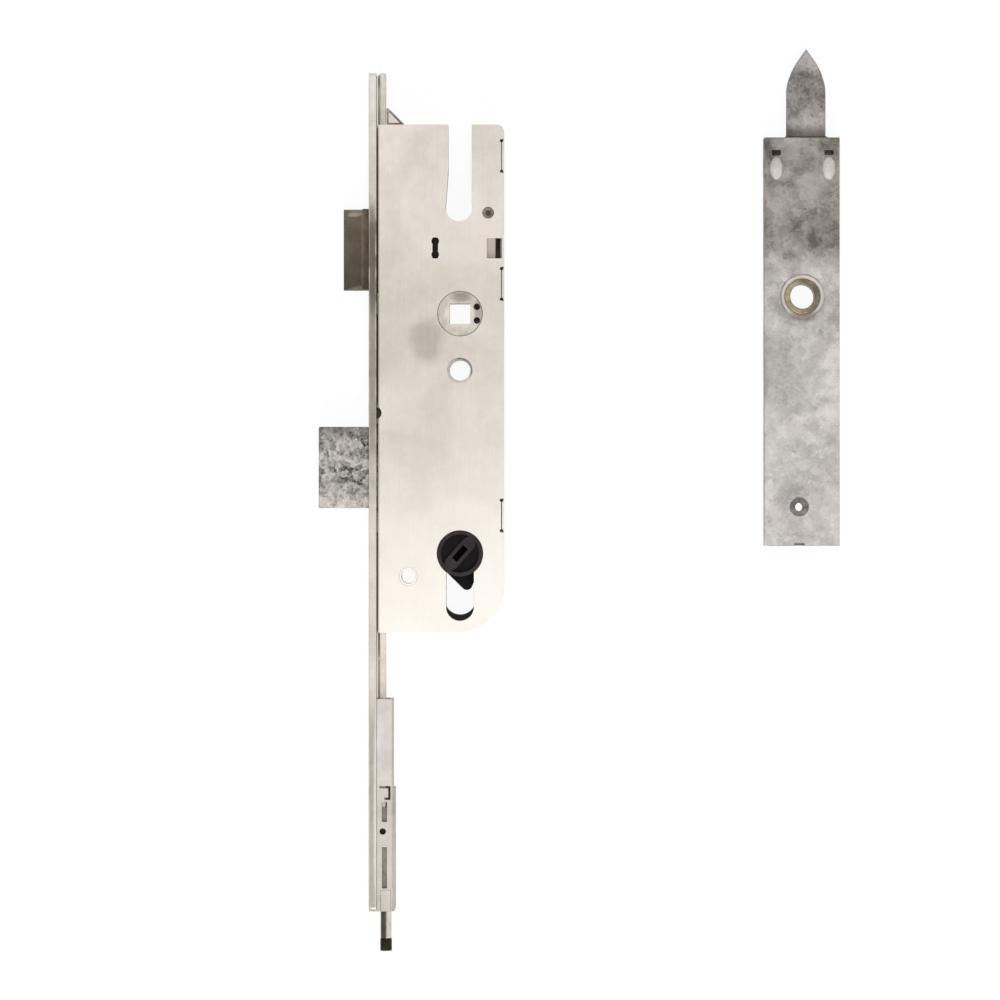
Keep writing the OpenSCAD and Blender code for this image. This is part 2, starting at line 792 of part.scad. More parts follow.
module deadbolt() {
    tip_x = front_x - dead_out;
    color(steel) difference() {
        translate([0, 0, bolt_z0]) linear_extrude(bolt_t)
            polygon([[tip_x, dead_low + bolt_edge], [tip_x + bolt_edge, dead_low], [dead_rear_x, dead_low],
                [dead_rear_x, dead_high], [tip_x + bolt_edge, dead_high], [tip_x, dead_high - bolt_edge]]);
        block([dead_rear_x - dead_slot_depth - fit, dead_neck_low - fit, tail_z0 - fit],
            [dead_rear_x + 1, dead_tail_high + fit, tail_z1 + fit]);
        for (at = dead_rivet_ats)
            rod_z([at[0], at[1], 0], through, dead_rivet_d + fit);
    }
}

module deadbolt_tail() {
    color(steel) difference() {
        translate([0, 0, tail_z0]) linear_extrude(tail_t) difference() {
            union() {
                panel([dead_rear_x, dead_tail_low], [dead_tail_x1, dead_tail_high]);
                panel([dead_rear_x - dead_slot_depth, dead_neck_low], [dead_rear_x + eps, dead_tail_high]);
            }
            panel([throw_pin_at[0] - throw_slot_half, dead_tail_low - 1],
                [throw_pin_at[0] + throw_slot_half, throw_slot_high]);
        }
        for (at = dead_rivet_ats)
            rod_z([at[0], at[1], 0], through, dead_rivet_d + fit);
    }
}

module deadbolt_rivets() {
    color(steel) for (at = dead_rivet_ats)
        rod_z([at[0], at[1], bolt_z0], bolt_t, dead_rivet_d);
}

brake_w = 5;
brake_gap = 0.15;
brake_t = (in_z1 - bolt_z1 - brake_gap) * 0.27;
brake_len = 16;
brake_pad = 3;
brake_x1 = -11;

module brake_spring() {
    y = (dead_high + dead_low) / 2;
    z = bolt_z1 + brake_gap;
    color(bronze) {
        block([brake_x1 - brake_len, y - brake_w / 2, z], [brake_x1, y + brake_w / 2, z + brake_t]);
        block([brake_x1 - brake_pad, y - brake_w / 2, z + brake_t - eps],
            [brake_x1, y + brake_w / 2, in_z1]);
    }
}

// Cylinder hub: a black disc in both plates, with a lobe between them and a raised bar on its face
hub_r = cylinder_d / 2 - turn_fit;
lobe_tip_r = 2.2;
lobe_angle = -77.7;
hub_bar_len = 15.4;
hub_bar_w = 5.2;
hub_bar_angle = 48.7;
hub_rim = 1.5;
hub_recess = 1.2;
hub_slot = [6.5, 2.5];
hub_slot_depth = 6;

// A lobe from a disc at the origin to a small round tip along +X, with tangent flanks
module lobe(disc_r, tip_r, reach) {
    run = reach - tip_r;
    spread = acos((disc_r - tip_r) / run);
    flank = [cos(spread), sin(spread)];
    mirrored = [cos(spread), -sin(spread)];
    translate([run, 0]) circle(tip_r);
    polygon([disc_r * flank, [0, 0], disc_r * mirrored,
        [run, 0] + tip_r * mirrored, [run, 0] + tip_r * flank]);
}

module cylinder_hub() {
    arm_level = tail_z1 + pin_gap;
    color(black) translate([0, -centres, 0]) difference() {
        union() {
            rod_z([0, 0, case_z0], case_depth, 2 * hub_r);
            translate([0, 0, bolt_z0]) linear_extrude(arm_level - bolt_z0 - run_gap)
                rotate(lobe_angle) lobe(hub_r, lobe_tip_r, lobe_reach);
        }
        translate([0, 0, case_z1 - hub_recess]) linear_extrude(hub_recess + 1) difference() {
            circle(hub_r - hub_rim);
            rotate(hub_bar_angle) round_bar([-(hub_bar_len - hub_bar_w) / 2, 0],
                [(hub_bar_len - hub_bar_w) / 2, 0], hub_bar_w);
        }
        rotate(hub_bar_angle) translate([0, 0, case_z1 - hub_slot_depth])
            linear_extrude(hub_slot_depth + 1) square(hub_slot, center = true);
    }
}

throw_arm_t = 2;
throw_arm_z0 = tail_z1 + pin_gap;
throw_arm_w = 5;
saddle_wall = 2.2;

module throw_arm() {
    color(steel) difference() {
        translate([0, 0, throw_arm_z0]) linear_extrude(throw_arm_t) difference() {
            union() {
                round_bar([0, -centres], throw_pin_at, throw_arm_w);
                translate([0, -centres]) circle(hub_r + saddle_wall);
            }
            translate([0, -centres]) circle(hub_r + fit);
            panel([-through, -centres - through], [through, -centres]);
        }
        rod_z([throw_pin_at[0], throw_pin_at[1], 0], through, pin_d + fit);
    }
}

module throw_pin() {
    color(steel) rod_z([throw_pin_at[0], throw_pin_at[1], tail_z0 + bolt_gap],
        throw_arm_z0 + throw_arm_t - tail_z0 - bolt_gap, pin_d);
}

// Bottom bolt: a housing behind the faceplate, a connector on the drive bar and a guided rod
housing_wall = 1.2;
housing_step = 34.2;
housing_in = 0.8;
lip_t = 0.8;
housing_z0 = bar_z0 - lip_t - bolt_gap - housing_wall;
housing_z1 = bar_z1 + lip_t + bolt_gap + housing_wall;
housing_top = housing_len - rail_down;
housing_x1 = front_x + housing_depth;
housing_step_y = housing_top - housing_step;
housing_foot = housing_len - housing_step;
rod_x0 = bar_x0 + 2.3;
connector_pin_d = 1.4;
connector_head_d = 2.4;
connector_x0 = bar_x0 - bar_back / 2;
connector_pin_at = [(bar_x0 + bar_x1) / 2, housing_foot * 0.648 - rail_down];
connector_high = connector_pin_at[1] + 9;
lower_bar_low = connector_pin_at[1] - 4;
end_block_h = 8.4;
end_block_high = end_block_h - rail_down;
connector_low = end_block_high + run_gap;
housing_rivet_d = 1.8;
housing_rivet_y = end_block_h / 2 - rail_down;
housing_rivet_len = 7;
housing_rivet_zs = [bar_mid_z - rod_tip_d / 2 - 1.5, bar_mid_z + rod_tip_d / 2 + 1.5];
boss_size = [3.8, 8.2];
slit_w = 1.8;
slit_x = bar_x0 + 1.8;

module housing_shell(grow) {
    low_z = housing_z0 + housing_wall - grow;
    high_z = housing_z1 - housing_wall + grow;
    over = grow > 0 ? 0 : 1;
    block([back_x - over, -rail_down - over, low_z],
        [housing_x1 - housing_in - housing_wall + grow, housing_top + over, high_z]);
    block([back_x - over, -rail_down - over, low_z],
        [housing_x1 - housing_wall + grow, housing_step_y - housing_wall + grow, high_z]);
}

// Cuts in the side of the housing: a hooked slit, two long slits and the seat of the end boss
module housing_slits() {
    z = housing_z1 - housing_wall - 1;
    hook_y = housing_step_y + 0.7;
    hook_h = 5.2;
    hook_w = 0.8;
    hook_x1 = rod_x0 + slit_w;
    long_1 = [connector_pin_at[1] + housing_foot * 0.238, connector_pin_at[1] + 3.7];
    long_2 = [connector_pin_at[1] - 6, end_block_high + 0.5];
    translate([0, 0, z]) linear_extrude(housing_wall + 2) {
        panel([bar_x0, hook_y - hook_w], [hook_x1, hook_y]);
        panel([hook_x1 - hook_w, hook_y - hook_h], [hook_x1, hook_y - hook_w + eps]);
        panel([slit_x, hook_y - hook_h], [hook_x1 - hook_w + eps, hook_y - hook_h + hook_w]);
        translate(connector_pin_at) circle(d = connector_head_d);
        for (slit = [long_1, long_2])
            panel([slit_x - slit_w / 2, slit[1]], [slit_x + slit_w / 2, slit[0]]);
        panel([rod_x0 - boss_size[0] / 2 - fit, -rail_down - 1],
            [rod_x0 + boss_size[0] / 2 + fit, boss_size[1] - rail_down + fit]);
    }
}

module lower_housing() {
    color(zinc) difference() {
        housing_shell(housing_wall);
        housing_shell(0);
        housing_slits();
    }
}

module end_block() {
    color(zinc) difference() {
        union() {
            block([back_x + fit, -rail_down, housing_z0 + housing_wall],
                [housing_x1 - housing_wall, end_block_high, housing_z1 - housing_wall]);
            block([rod_x0 - boss_size[0] / 2, -rail_down, housing_z1 - housing_wall - eps],
                [rod_x0 + boss_size[0] / 2, boss_size[1] - rail_down, housing_z1]);
        }
        rod_y([rod_x0, -rail_down - 1, bar_mid_z], end_block_h + 2, rod_tip_d + 2 * turn_fit);
        for (z = housing_rivet_zs)
            rod_x([back_x - 1, housing_rivet_y, z], housing_rivet_len, housing_rivet_d + fit);
    }
}

module housing_rivets() {
    color(steel) for (z = housing_rivet_zs)
        rod_x([front_x, housing_rivet_y, z], housing_rivet_len, housing_rivet_d);
}

stub_d = 3;
stub_len = 9;

module bolt_connector() {
    split_y = lower_bar_low - 2;
    slim_x1 = housing_x1 - housing_in - housing_wall - run_gap;
    wide_x1 = housing_x1 - housing_wall - run_gap;
    color(steel) difference() {
        union() {
            block([connector_x0, split_y, bar_z0 - lip_t], [slim_x1, connector_high, bar_z1 + lip_t]);
            block([connector_x0, connector_low, bar_z0 - lip_t], [wide_x1, split_y + eps, bar_z1 + lip_t]);
        }
        block([back_x, lower_bar_low - fit, bar_z0 - fit],
            [bar_x1 + fit, connector_high + 1, bar_z1 + fit]);
        rod_y([rod_x0, connector_low - 1, bar_mid_z], stub_len + 1, stub_d + fit);
        rod_z([connector_pin_at[0], connector_pin_at[1], 0], through, connector_pin_d + fit);
        rod_z([connector_pin_at[0], connector_pin_at[1], bar_z1], through, connector_head_d + fit);
    }
}

module connector_pin() {
    color(black) {
        rod_z([connector_pin_at[0], connector_pin_at[1], bar_z0 - lip_t],
            bar_w + 2 * lip_t, connector_pin_d);
        rod_z([connector_pin_at[0], connector_pin_at[1], bar_z1 + fit], lip_t - fit, connector_head_d);
    }
}

rod_tip_len = 4.9;
rod_end = -rail_down - rod_out;

module bottom_bolt() {
    color(steel) {
        rod_y([rod_x0, rod_end + rod_tip_len, bar_mid_z], connector_low - rod_end - rod_tip_len, rod_d);
        rod_y([rod_x0, connector_low - eps, bar_mid_z], stub_len + eps, stub_d);
    }
}

module bottom_tip() {
    color(olive) rod_y([rod_x0, rod_end, bar_mid_z], rod_tip_len, rod_tip_d);
}

// Shootbolt unit: a flat box with a tongue and a driver on opposite sides of one pinion
pivot_x = unit_x + 0.2;
tongue_x = unit_x + 1.7;
low_eyelet_at = [unit_x - 1, unit_y - low_drop];
unit_x0 = unit_x - unit_w / 2;
unit_x1 = unit_x + unit_w / 2;
unit_y0 = unit_y - unit_down;
unit_y1 = unit_y + unit_up;
unit_in_x0 = unit_x0 + unit_wall;
unit_in_x1 = unit_x1 - unit_wall;
unit_in_z1 = unit_t - unit_cover_t;
gear_z0 = unit_wall + run_gap;
gear_t = unit_in_z1 - run_gap - gear_z0;
tongue_x0 = tongue_x - tongue_w / 2;
tongue_x1 = tongue_x + tongue_w / 2;
collar_wall = 0.5;
collar_out = 0.4;
collar_x0 = tongue_x0 - run_gap - collar_wall;
collar_x1 = tongue_x1 + run_gap + collar_wall;
collar_z0 = gear_z0 - run_gap - collar_wall;
collar_z1 = gear_z0 + gear_t + run_gap + collar_wall;
pivot_tube_d = pivot_bore + 1.2;
low_tube_d = low_bore + 1;
unit_notch = [3.8, 1.2];
unit_notch_drop = 2;

// Involute teeth
teeth = 14;
pressure = 25;
backlash = 0.15;
pitch_r = teeth * tooth_module / 2;
base_r = pitch_r * cos(pressure);
outer_r = pitch_r + tooth_module;
root_r = pitch_r - 1.25 * tooth_module;
tooth_pitch = PI * tooth_module;
flank_steps = 5;

function involute(a) = tan(a) * 180 / PI - a;

// Half the angle that a tooth takes up at a radius
function half_tooth(r) =
    let (a = acos(min(1, base_r / r)))
    (tooth_pitch / 2 - backlash) / (2 * pitch_r) * 180 / PI + involute(pressure) - involute(a);

flank_radii = [root_r, for (i = [0 : flank_steps]) base_r + (outer_r - base_r) * i / flank_steps];

function polar(r, a) = [r * cos(a), r * sin(a)];

module pinion_plan() {
    count = len(flank_radii);
    polygon([for (tooth = [0 : teeth - 1])
        let (a = 360 * tooth / teeth)
        each concat([for (r = flank_radii) polar(r, a - half_tooth(r))],
            [for (i = [count - 1 : -1 : 0]) polar(flank_radii[i], a + half_tooth(flank_radii[i]))])]);
}

// Rack teeth that point to -X, between two heights, with a tooth gap level with the pivot
module rack_plan(low, high, back_x) {
    tip_x = pitch_r - tooth_module;
    foot_x = pitch_r + 1.25 * tooth_module;
    half = tooth_pitch / 4 - backlash / 2;
    tip_half = half - tooth_module * tan(pressure);
    foot_half = half + 1.25 * tooth_module * tan(pressure);
    first = ceil(low / tooth_pitch);
    last = floor(high / tooth_pitch) - 1;
    polygon([[back_x, low], [back_x, high], [foot_x, high],
        for (k = [last : -1 : first])
            let (y = (k + 0.5) * tooth_pitch)
            each [[foot_x, y + foot_half], [tip_x, y + tip_half],
                [tip_x, y - tip_half], [foot_x, y - foot_half]],
        [foot_x, low]]);
}

module unit_holes() {
    translate([pivot_x, unit_y]) circle(d = pivot_tube_d + 2 * turn_fit);
    translate(low_eyelet_at) circle(d = low_tube_d + 2 * turn_fit);
}

// Notch in the lower edge, through the cover and a little way into the body
module unit_edge_notch() {
    block([low_eyelet_at[0] - unit_notch[0] / 2, unit_y0 - 1, unit_in_z1 - unit_notch_drop],
        [low_eyelet_at[0] + unit_notch[0] / 2, unit_y0 + unit_notch[1], unit_t + 1]);
}

module unit_body() {
    color(steel) difference() {
        block([unit_x0, unit_y0, 0], [unit_x1, unit_y1, unit_in_z1]);
        block([unit_in_x0, unit_y0 + unit_wall, unit_wall], [unit_in_x1, unit_y1 - unit_wall, unit_t]);
        block([collar_x0 - fit, unit_y1 - unit_wall - 1, collar_z0 - fit],
            [collar_x1 + fit, unit_y1 + 1, unit_t]);
        translate([0, 0, -1]) linear_extrude(unit_t) unit_holes();
        unit_edge_notch();
    }
}

// Cover with a lip round the pivot and two oval dimples below their slits
lip_w = 1.6;
lip_h = 0.4;
dimple = [5.2, 9.4, 0.8];
dimple_drop = 7.2;
dimple_in = [2, 1.5];
slit_len = 3.4;
slit_h = 1.8;
slit_gap = 0.5;
dimple_xs = [unit_x0 + dimple_in[0], unit_x1 - dimple_in[1] - dimple[0]];
dimple_y1 = unit_y1 - dimple_drop;
slit_y0 = dimple_y1 + slit_gap;

module dimple_bump(x) {
    across_r = (dimple[2] * dimple[2] + dimple[0] * dimple[0] / 4) / (2 * dimple[2]);
    along_r = (dimple[2] * dimple[2] + dimple[1] * dimple[1] / 4) / (2 * dimple[2]);
    intersection() {
        translate([x + dimple[0] / 2, dimple_y1 - dimple[1] / 2, unit_t + dimple[2] - along_r])
            rotate([0, 90, 0]) rotate_extrude() translate([along_r - across_r, 0]) circle(across_r);
        block([x, dimple_y1 - dimple[1], unit_t - unit_cover_t / 2],
            [x + dimple[0], dimple_y1, unit_t + dimple[2]]);
    }
}

module unit_cover() {
    color(steel) difference() {
        union() {
            block([unit_x0, unit_y0, unit_in_z1], [unit_x1, unit_y1, unit_t]);
            rod_z([pivot_x, unit_y, unit_t - eps], lip_h + eps, pivot_ring_d + 2 * lip_w);
            for (x = dimple_xs)
                dimple_bump(x);
        }
        rod_z([pivot_x, unit_y, unit_t], lip_h + 1, pivot_ring_d + 2 * turn_fit);
        translate([0, 0, unit_in_z1 - 1]) linear_extrude(unit_t) unit_holes();
        unit_edge_notch();
        for (x = dimple_xs)
            block([x + (dimple[0] - slit_len) / 2, slit_y0, unit_in_z1 - 1],
                [x + (dimple[0] + slit_len) / 2, slit_y0 + slit_h, unit_t + 1]);
    }
}

tongue_base_y = unit_y + outer_r + tongue_throw + 1;
tongue_base_h = 8;
rack_reach = 9.5;
rack_root = 1;
tongue_tip_y = unit_y1 + tongue_out;
shoulder_in = tongue_w * 0.17;

module tongue() {
    color(steel) translate([0, 0, gear_z0]) linear_extrude(gear_t) {
        polygon([[tongue_x0, tongue_base_y], [tongue_x1, tongue_base_y],
            [tongue_x1, tongue_tip_y - tongue_point],
            [tongue_x1 - shoulder_in, tongue_tip_y - tongue_point / 2], [tongue_x, tongue_tip_y],
            [tongue_x0 + shoulder_in, tongue_tip_y - tongue_point / 2],
            [tongue_x0, tongue_tip_y - tongue_point]]);
        panel([tongue_x, tongue_base_y], [unit_in_x1 - run_gap, tongue_base_y + tongue_base_h]);
        translate([pivot_x, unit_y])
            rack_plan(-rack_reach, tongue_base_y + rack_root - unit_y, unit_in_x1 - run_gap - pivot_x);
    }
}

module tongue_collar() {
    color(black) difference() {
        union() {
            block([collar_x0, unit_y1, collar_z0], [collar_x1, unit_y1 + collar_out, collar_z1]);
            block([collar_x0, unit_y1 - unit_wall, collar_z0], [collar_x1, unit_y1 + eps, unit_in_z1]);
        }
        block([tongue_x0 - run_gap, unit_y1 - unit_wall - 1, gear_z0 - run_gap],
            [tongue_x1 + run_gap, unit_y1 + collar_out + 1, gear_z0 + gear_t + run_gap]);
    }
}

module reversing_pinion() {
    color(bronze) translate([pivot_x, unit_y, gear_z0]) difference() {
        linear_extrude(gear_t) pinion_plan();
        translate([0, 0, -1]) cylinder(h = gear_t + 2, d = pivot_tube_d + 2 * turn_fit);
    }
}

driver_high = unit_y - outer_r - tongue_throw - 1;
driver_low = unit_y0 + unit_wall + 2;
driver_x1 = pivot_x + pitch_r - tooth_module - 0.7;
eyelet_slot_half = low_tube_d / 2 + pin_gap;

module driver_slide() {
    color(steel) translate([0, 0, gear_z0]) linear_extrude(gear_t) {
        difference() {
            panel([unit_in_x0 + run_gap, driver_low], [driver_x1, driver_high]);
            panel([low_eyelet_at[0] - eyelet_slot_half, driver_low - 1],
                [low_eyelet_at[0] + eyelet_slot_half, low_eyelet_at[1] + eyelet_slot_half]);
        }
        translate([pivot_x, unit_y]) rotate(180)
            rack_plan(-rack_reach, unit_y - driver_high + rack_root, pivot_x - unit_in_x0 - run_gap);
    }
}

// An eyelet through the unit, with a ring on the cover
module unit_eyelet(at, bore, tube_d, ring_d, ring_h) {
    translate([at[0], at[1], 0]) difference() {
        union() {
            cylinder(h = unit_t + ring_h, d = tube_d);
            translate([0, 0, unit_t]) cylinder(h = ring_h, d = ring_d);
        }
        translate([0, 0, -1]) cylinder(h = unit_t + ring_h + 2, d = bore);
    }
}

ring_h = 0.6;

module pivot_eyelet() {
    color(bronze) unit_eyelet([pivot_x, unit_y], pivot_bore, pivot_tube_d, pivot_ring_d, ring_h);
}

module lower_eyelet() {
    color(steel) unit_eyelet(low_eyelet_at, low_bore, low_tube_d, low_ring_d, ring_h / 2);
}

faceplate();
case_tray();
case_cover();
case_rivet();
case_lugs();
case_screws();
handle_sleeve();
fixing_tube();
bar_guide();
profile_liner();
drive_slide();
drive_bar_upper();
drive_bar_lower();
drive_rivets();
follower();
drive_pin();
follower_spring();
tail_guide();
latch_bolt();
latch_tail();
latch_rivet();
latch_spring();
spring_guide();
deadbolt();
deadbolt_tail();
deadbolt_rivets();
brake_spring();
cylinder_hub();
throw_arm();
throw_pin();
lower_housing();
end_block();
housing_rivets();
bolt_connector();
connector_pin();
bottom_bolt();
bottom_tip();
unit_body();
unit_cover();
tongue();
tongue_collar();
reversing_pinion();
driver_slide();
pivot_eyelet();
lower_eyelet();
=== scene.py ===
# %% [markdown]
# # A multipoint door lock, dressed around its CAD frame
# The lock lies on a white table and is seen from straight above: a long faceplate on edge, a flat case
# with its handle hub and black cylinder hub, two bolts to the left, a bottom bolt on a rail, and a
# separate shootbolt unit to the right. The CAD frame already has every piece at its real size, so the
# work here is finish: softened edges, rolled rims, and metals that look plated, cast or worn.

import json
import math

import bpy
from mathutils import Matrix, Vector


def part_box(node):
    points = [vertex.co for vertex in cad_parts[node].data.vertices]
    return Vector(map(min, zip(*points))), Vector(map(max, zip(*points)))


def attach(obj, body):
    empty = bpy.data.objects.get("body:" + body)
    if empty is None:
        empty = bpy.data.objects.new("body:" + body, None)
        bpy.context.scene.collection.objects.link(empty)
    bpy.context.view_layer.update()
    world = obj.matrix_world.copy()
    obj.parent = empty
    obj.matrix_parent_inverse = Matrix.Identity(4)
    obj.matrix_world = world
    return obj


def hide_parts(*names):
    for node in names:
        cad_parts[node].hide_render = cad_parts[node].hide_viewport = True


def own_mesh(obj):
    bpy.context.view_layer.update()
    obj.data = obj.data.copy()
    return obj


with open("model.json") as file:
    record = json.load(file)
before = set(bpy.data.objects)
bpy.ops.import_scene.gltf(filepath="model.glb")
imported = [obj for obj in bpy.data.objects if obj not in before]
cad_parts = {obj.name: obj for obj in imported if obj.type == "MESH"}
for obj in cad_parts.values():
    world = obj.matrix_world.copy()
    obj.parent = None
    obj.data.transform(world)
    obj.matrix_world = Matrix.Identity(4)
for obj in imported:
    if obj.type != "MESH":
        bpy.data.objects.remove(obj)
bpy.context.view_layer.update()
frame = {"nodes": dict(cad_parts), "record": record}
MM = 0.001

# %% [markdown]
# ## Handling meshes
# An operator works on whatever is selected, and the frame arrives selected, so every step first clears
# the selection. A CAD mesh is loose triangles. A copy of it is welded and its flat faces are joined, and
# then a narrow bevel can run along every sharp edge, as tumbling and plating leave it on real parts.

# %% Helpers for selecting, copying and softening
SHARP = math.radians(32)
FLAT = math.radians(0.4)
WELD = 0.002 * MM
BODY_SLOT, RIM_SLOT = 0, 1


def only(piece):
    """Make one object the selected and active one."""
    bpy.ops.object.select_all(action="DESELECT")
    piece.select_set(True)
    bpy.context.view_layer.objects.active = piece


def cad_copy(node, name):
    """A welded copy of a CAD node, with its flat faces joined, as a new object."""
    source = frame["nodes"][node]
    mesh = source.data.copy()
    mesh.name = name
    mesh.materials.clear()
    for _ in (BODY_SLOT, RIM_SLOT):
        mesh.materials.append(None)
    piece = bpy.data.objects.new(name, mesh)
    bpy.context.scene.collection.objects.link(piece)
    only(piece)
    bpy.ops.object.mode_set(mode="EDIT")
    bpy.ops.mesh.select_all(action="SELECT")
    bpy.ops.mesh.remove_doubles(threshold=WELD)
    bpy.ops.mesh.dissolve_limited(angle_limit=FLAT)
    bpy.ops.object.mode_set(mode="OBJECT")
    return piece


def apply_all(piece):
    """Apply every modifier of a piece, in order."""
    only(piece)
    for modifier in list(piece.modifiers):
        bpy.ops.object.modifier_apply(modifier=modifier.name)


def soften(piece, width, segments=2):
    """Round the sharp edges of a piece by a width in millimetres, and note the new faces as its rim."""
    bevel = piece.modifiers.new("edge", "BEVEL")
    bevel.width = width * MM
    bevel.segments = segments
    bevel.limit_method = "ANGLE"
    bevel.angle_limit = SHARP
    bevel.use_clamp_overlap = False
    bevel.miter_outer = "MITER_ARC"
    bevel.material = RIM_SLOT
    apply_all(piece)
    bpy.ops.object.shade_smooth_by_angle(angle=SHARP)
    even = piece.modifiers.new("even", "WEIGHTED_NORMAL")
    even.keep_sharp = True
    even.weight = 100
    apply_all(piece)
    rim = piece.data.attributes.new("rim", "FLOAT", "FACE")
    for face in piece.data.polygons:
        rim.data[face.index].value = float(face.material_index)
        face.material_index = BODY_SLOT
    return piece


def dress(piece, node, finish):
    """Let a piece stand for a CAD node: same body, with its own finish."""
    piece.data.materials.clear()
    piece.data.materials.append(finish)
    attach(piece, body_of[node])
    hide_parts(node)
    print(piece.name, "stands for", node, "with", len(piece.data.polygons), "faces")
    return piece


record = frame["record"]
body_of = {n: body for body, nodes in record["behaviour"]["bodies"].items() for n in nodes}
slot_of = {row["node"]: row["material_slot"] for row in record["subparts"]}
print("material slots:", sorted(set(slot_of.values())))

# %% [markdown]
# ## Colour from the photograph
# Colours are read as 0 to 255 screen values. Blender mixes light in linear values, so one small function
# turns the one into the other.


# %% Screen colour to linear
def tone(red, green, blue):
    """A screen colour, 0 to 255, as linear RGBA."""
    values = []
    for part in (red, green, blue):
        part = part / 255
        values.append(part / 12.92 if part <= 0.04045 else ((part + 0.055) / 1.055) ** 2.4)
    return (*values, 1.0)


print("middle grey is", round(tone(128, 128, 128)[0], 3))

# %% [markdown]
# ## Shared effects
# Metal looks handled because of zinc crystals (spangle), broad cloudy patches left by plating and fingers
# (cloud), fine drawn lines (grain), rubbed edges, which some finishes darken instead as painted shade on the
# rounded edges (edge_wear_and_shade), a change of tone along the piece, which some finishes use for painted
# light and shade (fade), and soft oval stains, which also lay painted shade, shadows and highlights
# (stain_and_painted_light). Painted shade also goes into the recesses (painted_recess_shade). Each is a small
# node group that reads Object coordinates or a mark on the mesh, so a pattern stays on its piece wherever the
# camera is, and every finish places the groups with its own sizes. A group gives out only masks that vary
# over the surface.


# %% Small helpers for node trees
def add(tree, kind, inputs=None, **settings):
    """Add a node, set its properties and its input values."""
    node = tree.nodes.new(kind)
    for key, value in settings.items():
        setattr(node, key, value)
    for key, value in (inputs or {}).items():
        node.inputs[key].default_value = value
    return node


def new_group(name, inputs, outputs):
    """An empty node group with float inputs and outputs; gives the tree and its two end nodes."""
    tree = bpy.data.node_groups.new(name, "ShaderNodeTree")
    for label, value in inputs.items():
        socket = tree.interface.new_socket(label, in_out="INPUT", socket_type="NodeSocketFloat")
        socket.default_value = value
    for label in outputs:
        tree.interface.new_socket(label, in_out="OUTPUT", socket_type="NodeSocketFloat")
    return tree, tree.nodes.new("NodeGroupInput"), tree.nodes.new("NodeGroupOutput")


def stretch(tree, value, low, high, to_low=0.0, to_high=1.0):
    """Spread the values between low and high over another range."""
    node = add(tree, "ShaderNodeMapRange",
               {"From Min": low, "From Max": high, "To Min": to_low, "To Max": to_high})
    tree.links.new(value, node.inputs["Value"])
    return node.outputs["Result"]


def blend_values(tree, factor, first, second):
    """Mix two values; the factor is a number."""
    node = add(tree, "ShaderNodeMix", {"Factor": factor})
    tree.links.new(first, node.inputs["A"])
    tree.links.new(second, node.inputs["B"])
    return node.outputs["Result"]


# %% Spangle: crystals of zinc
FRAY_SCALE, SMALL_SHARE, FRAY_SHARE = 1.7, 0.45, 0.35
tree, given, result = new_group("spangle", {"Size": 400.0, "Fray": 0.3}, ["Mask"])
place = add(tree, "ShaderNodeTexCoord")
fray = add(tree, "ShaderNodeTexNoise", {"Detail": 3.0})
fray_scale = add(tree, "ShaderNodeMath", {1: FRAY_SCALE}, operation="MULTIPLY")
push = add(tree, "ShaderNodeVectorMath", operation="SCALE")
moved = add(tree, "ShaderNodeVectorMath", operation="ADD")
scaled = add(tree, "ShaderNodeVectorMath", operation="SCALE")
large = add(tree, "ShaderNodeTexVoronoi", {"Scale": 1.0})
small = add(tree, "ShaderNodeTexVoronoi", {"Scale": 2.7})
tree.links.new(given.outputs["Size"], fray_scale.inputs[0])
tree.links.new(place.outputs["Object"], fray.inputs["Vector"])
tree.links.new(fray_scale.outputs[0], fray.inputs["Scale"])
tree.links.new(place.outputs["Object"], scaled.inputs[0])
tree.links.new(given.outputs["Size"], scaled.inputs["Scale"])
tree.links.new(fray.outputs["Color"], push.inputs[0])
tree.links.new(given.outputs["Fray"], push.inputs["Scale"])
tree.links.new(scaled.outputs[0], moved.inputs[0])
tree.links.new(push.outputs[0], moved.inputs[1])
cells = []
for voronoi in (large, small):
    tree.links.new(moved.outputs[0], voronoi.inputs["Vector"])
    apart = add(tree, "ShaderNodeSeparateColor")
    tree.links.new(voronoi.outputs["Color"], apart.inputs[0])
    cells.append(apart.outputs[0])
mixed = blend_values(tree, SMALL_SHARE, cells[0], cells[1])
tree.links.new(blend_values(tree, FRAY_SHARE, mixed, fray.outputs["Fac"]), result.inputs["Mask"])
spangle = tree

# %% Cloud: broad patches
tree, given, result = new_group("cloud", {"Size": 30.0, "Low": 0.35, "High": 0.65}, ["Mask"])
place = add(tree, "ShaderNodeTexCoord")
noise = add(tree, "ShaderNodeTexNoise", {"Detail": 5.0, "Roughness": 0.55, "Distortion": 0.4})
spread = add(tree, "ShaderNodeMapRange")
tree.links.new(place.outputs["Object"], noise.inputs["Vector"])
tree.links.new(given.outputs["Size"], noise.inputs["Scale"])
tree.links.new(noise.outputs["Fac"], spread.inputs["Value"])
tree.links.new(given.outputs["Low"], spread.inputs["From Min"])
tree.links.new(given.outputs["High"], spread.inputs["From Max"])
tree.links.new(spread.outputs["Result"], result.inputs["Mask"])
cloud = tree

# %% Grain: lines drawn along one axis of the piece
tree, given, result = new_group("grain", {"Across": 2500.0, "Along": 60.0}, ["Mask"])
place = add(tree, "ShaderNodeTexCoord")
sizes = add(tree, "ShaderNodeCombineXYZ")
drawn = add(tree, "ShaderNodeVectorMath", operation="MULTIPLY")
noise = add(tree, "ShaderNodeTexNoise", {"Scale": 1.0, "Detail": 3.0, "Roughness": 0.6})
for axis, label in (("X", "Across"), ("Y", "Along"), ("Z", "Across")):
    tree.links.new(given.outputs[label], sizes.inputs[axis])
tree.links.new(place.outputs["Object"], drawn.inputs[0])
tree.links.new(sizes.outputs[0], drawn.inputs[1])
tree.links.new(drawn.outputs[0], noise.inputs["Vector"])
tree.links.new(noise.outputs["Fac"], result.inputs["Mask"])
grain = tree
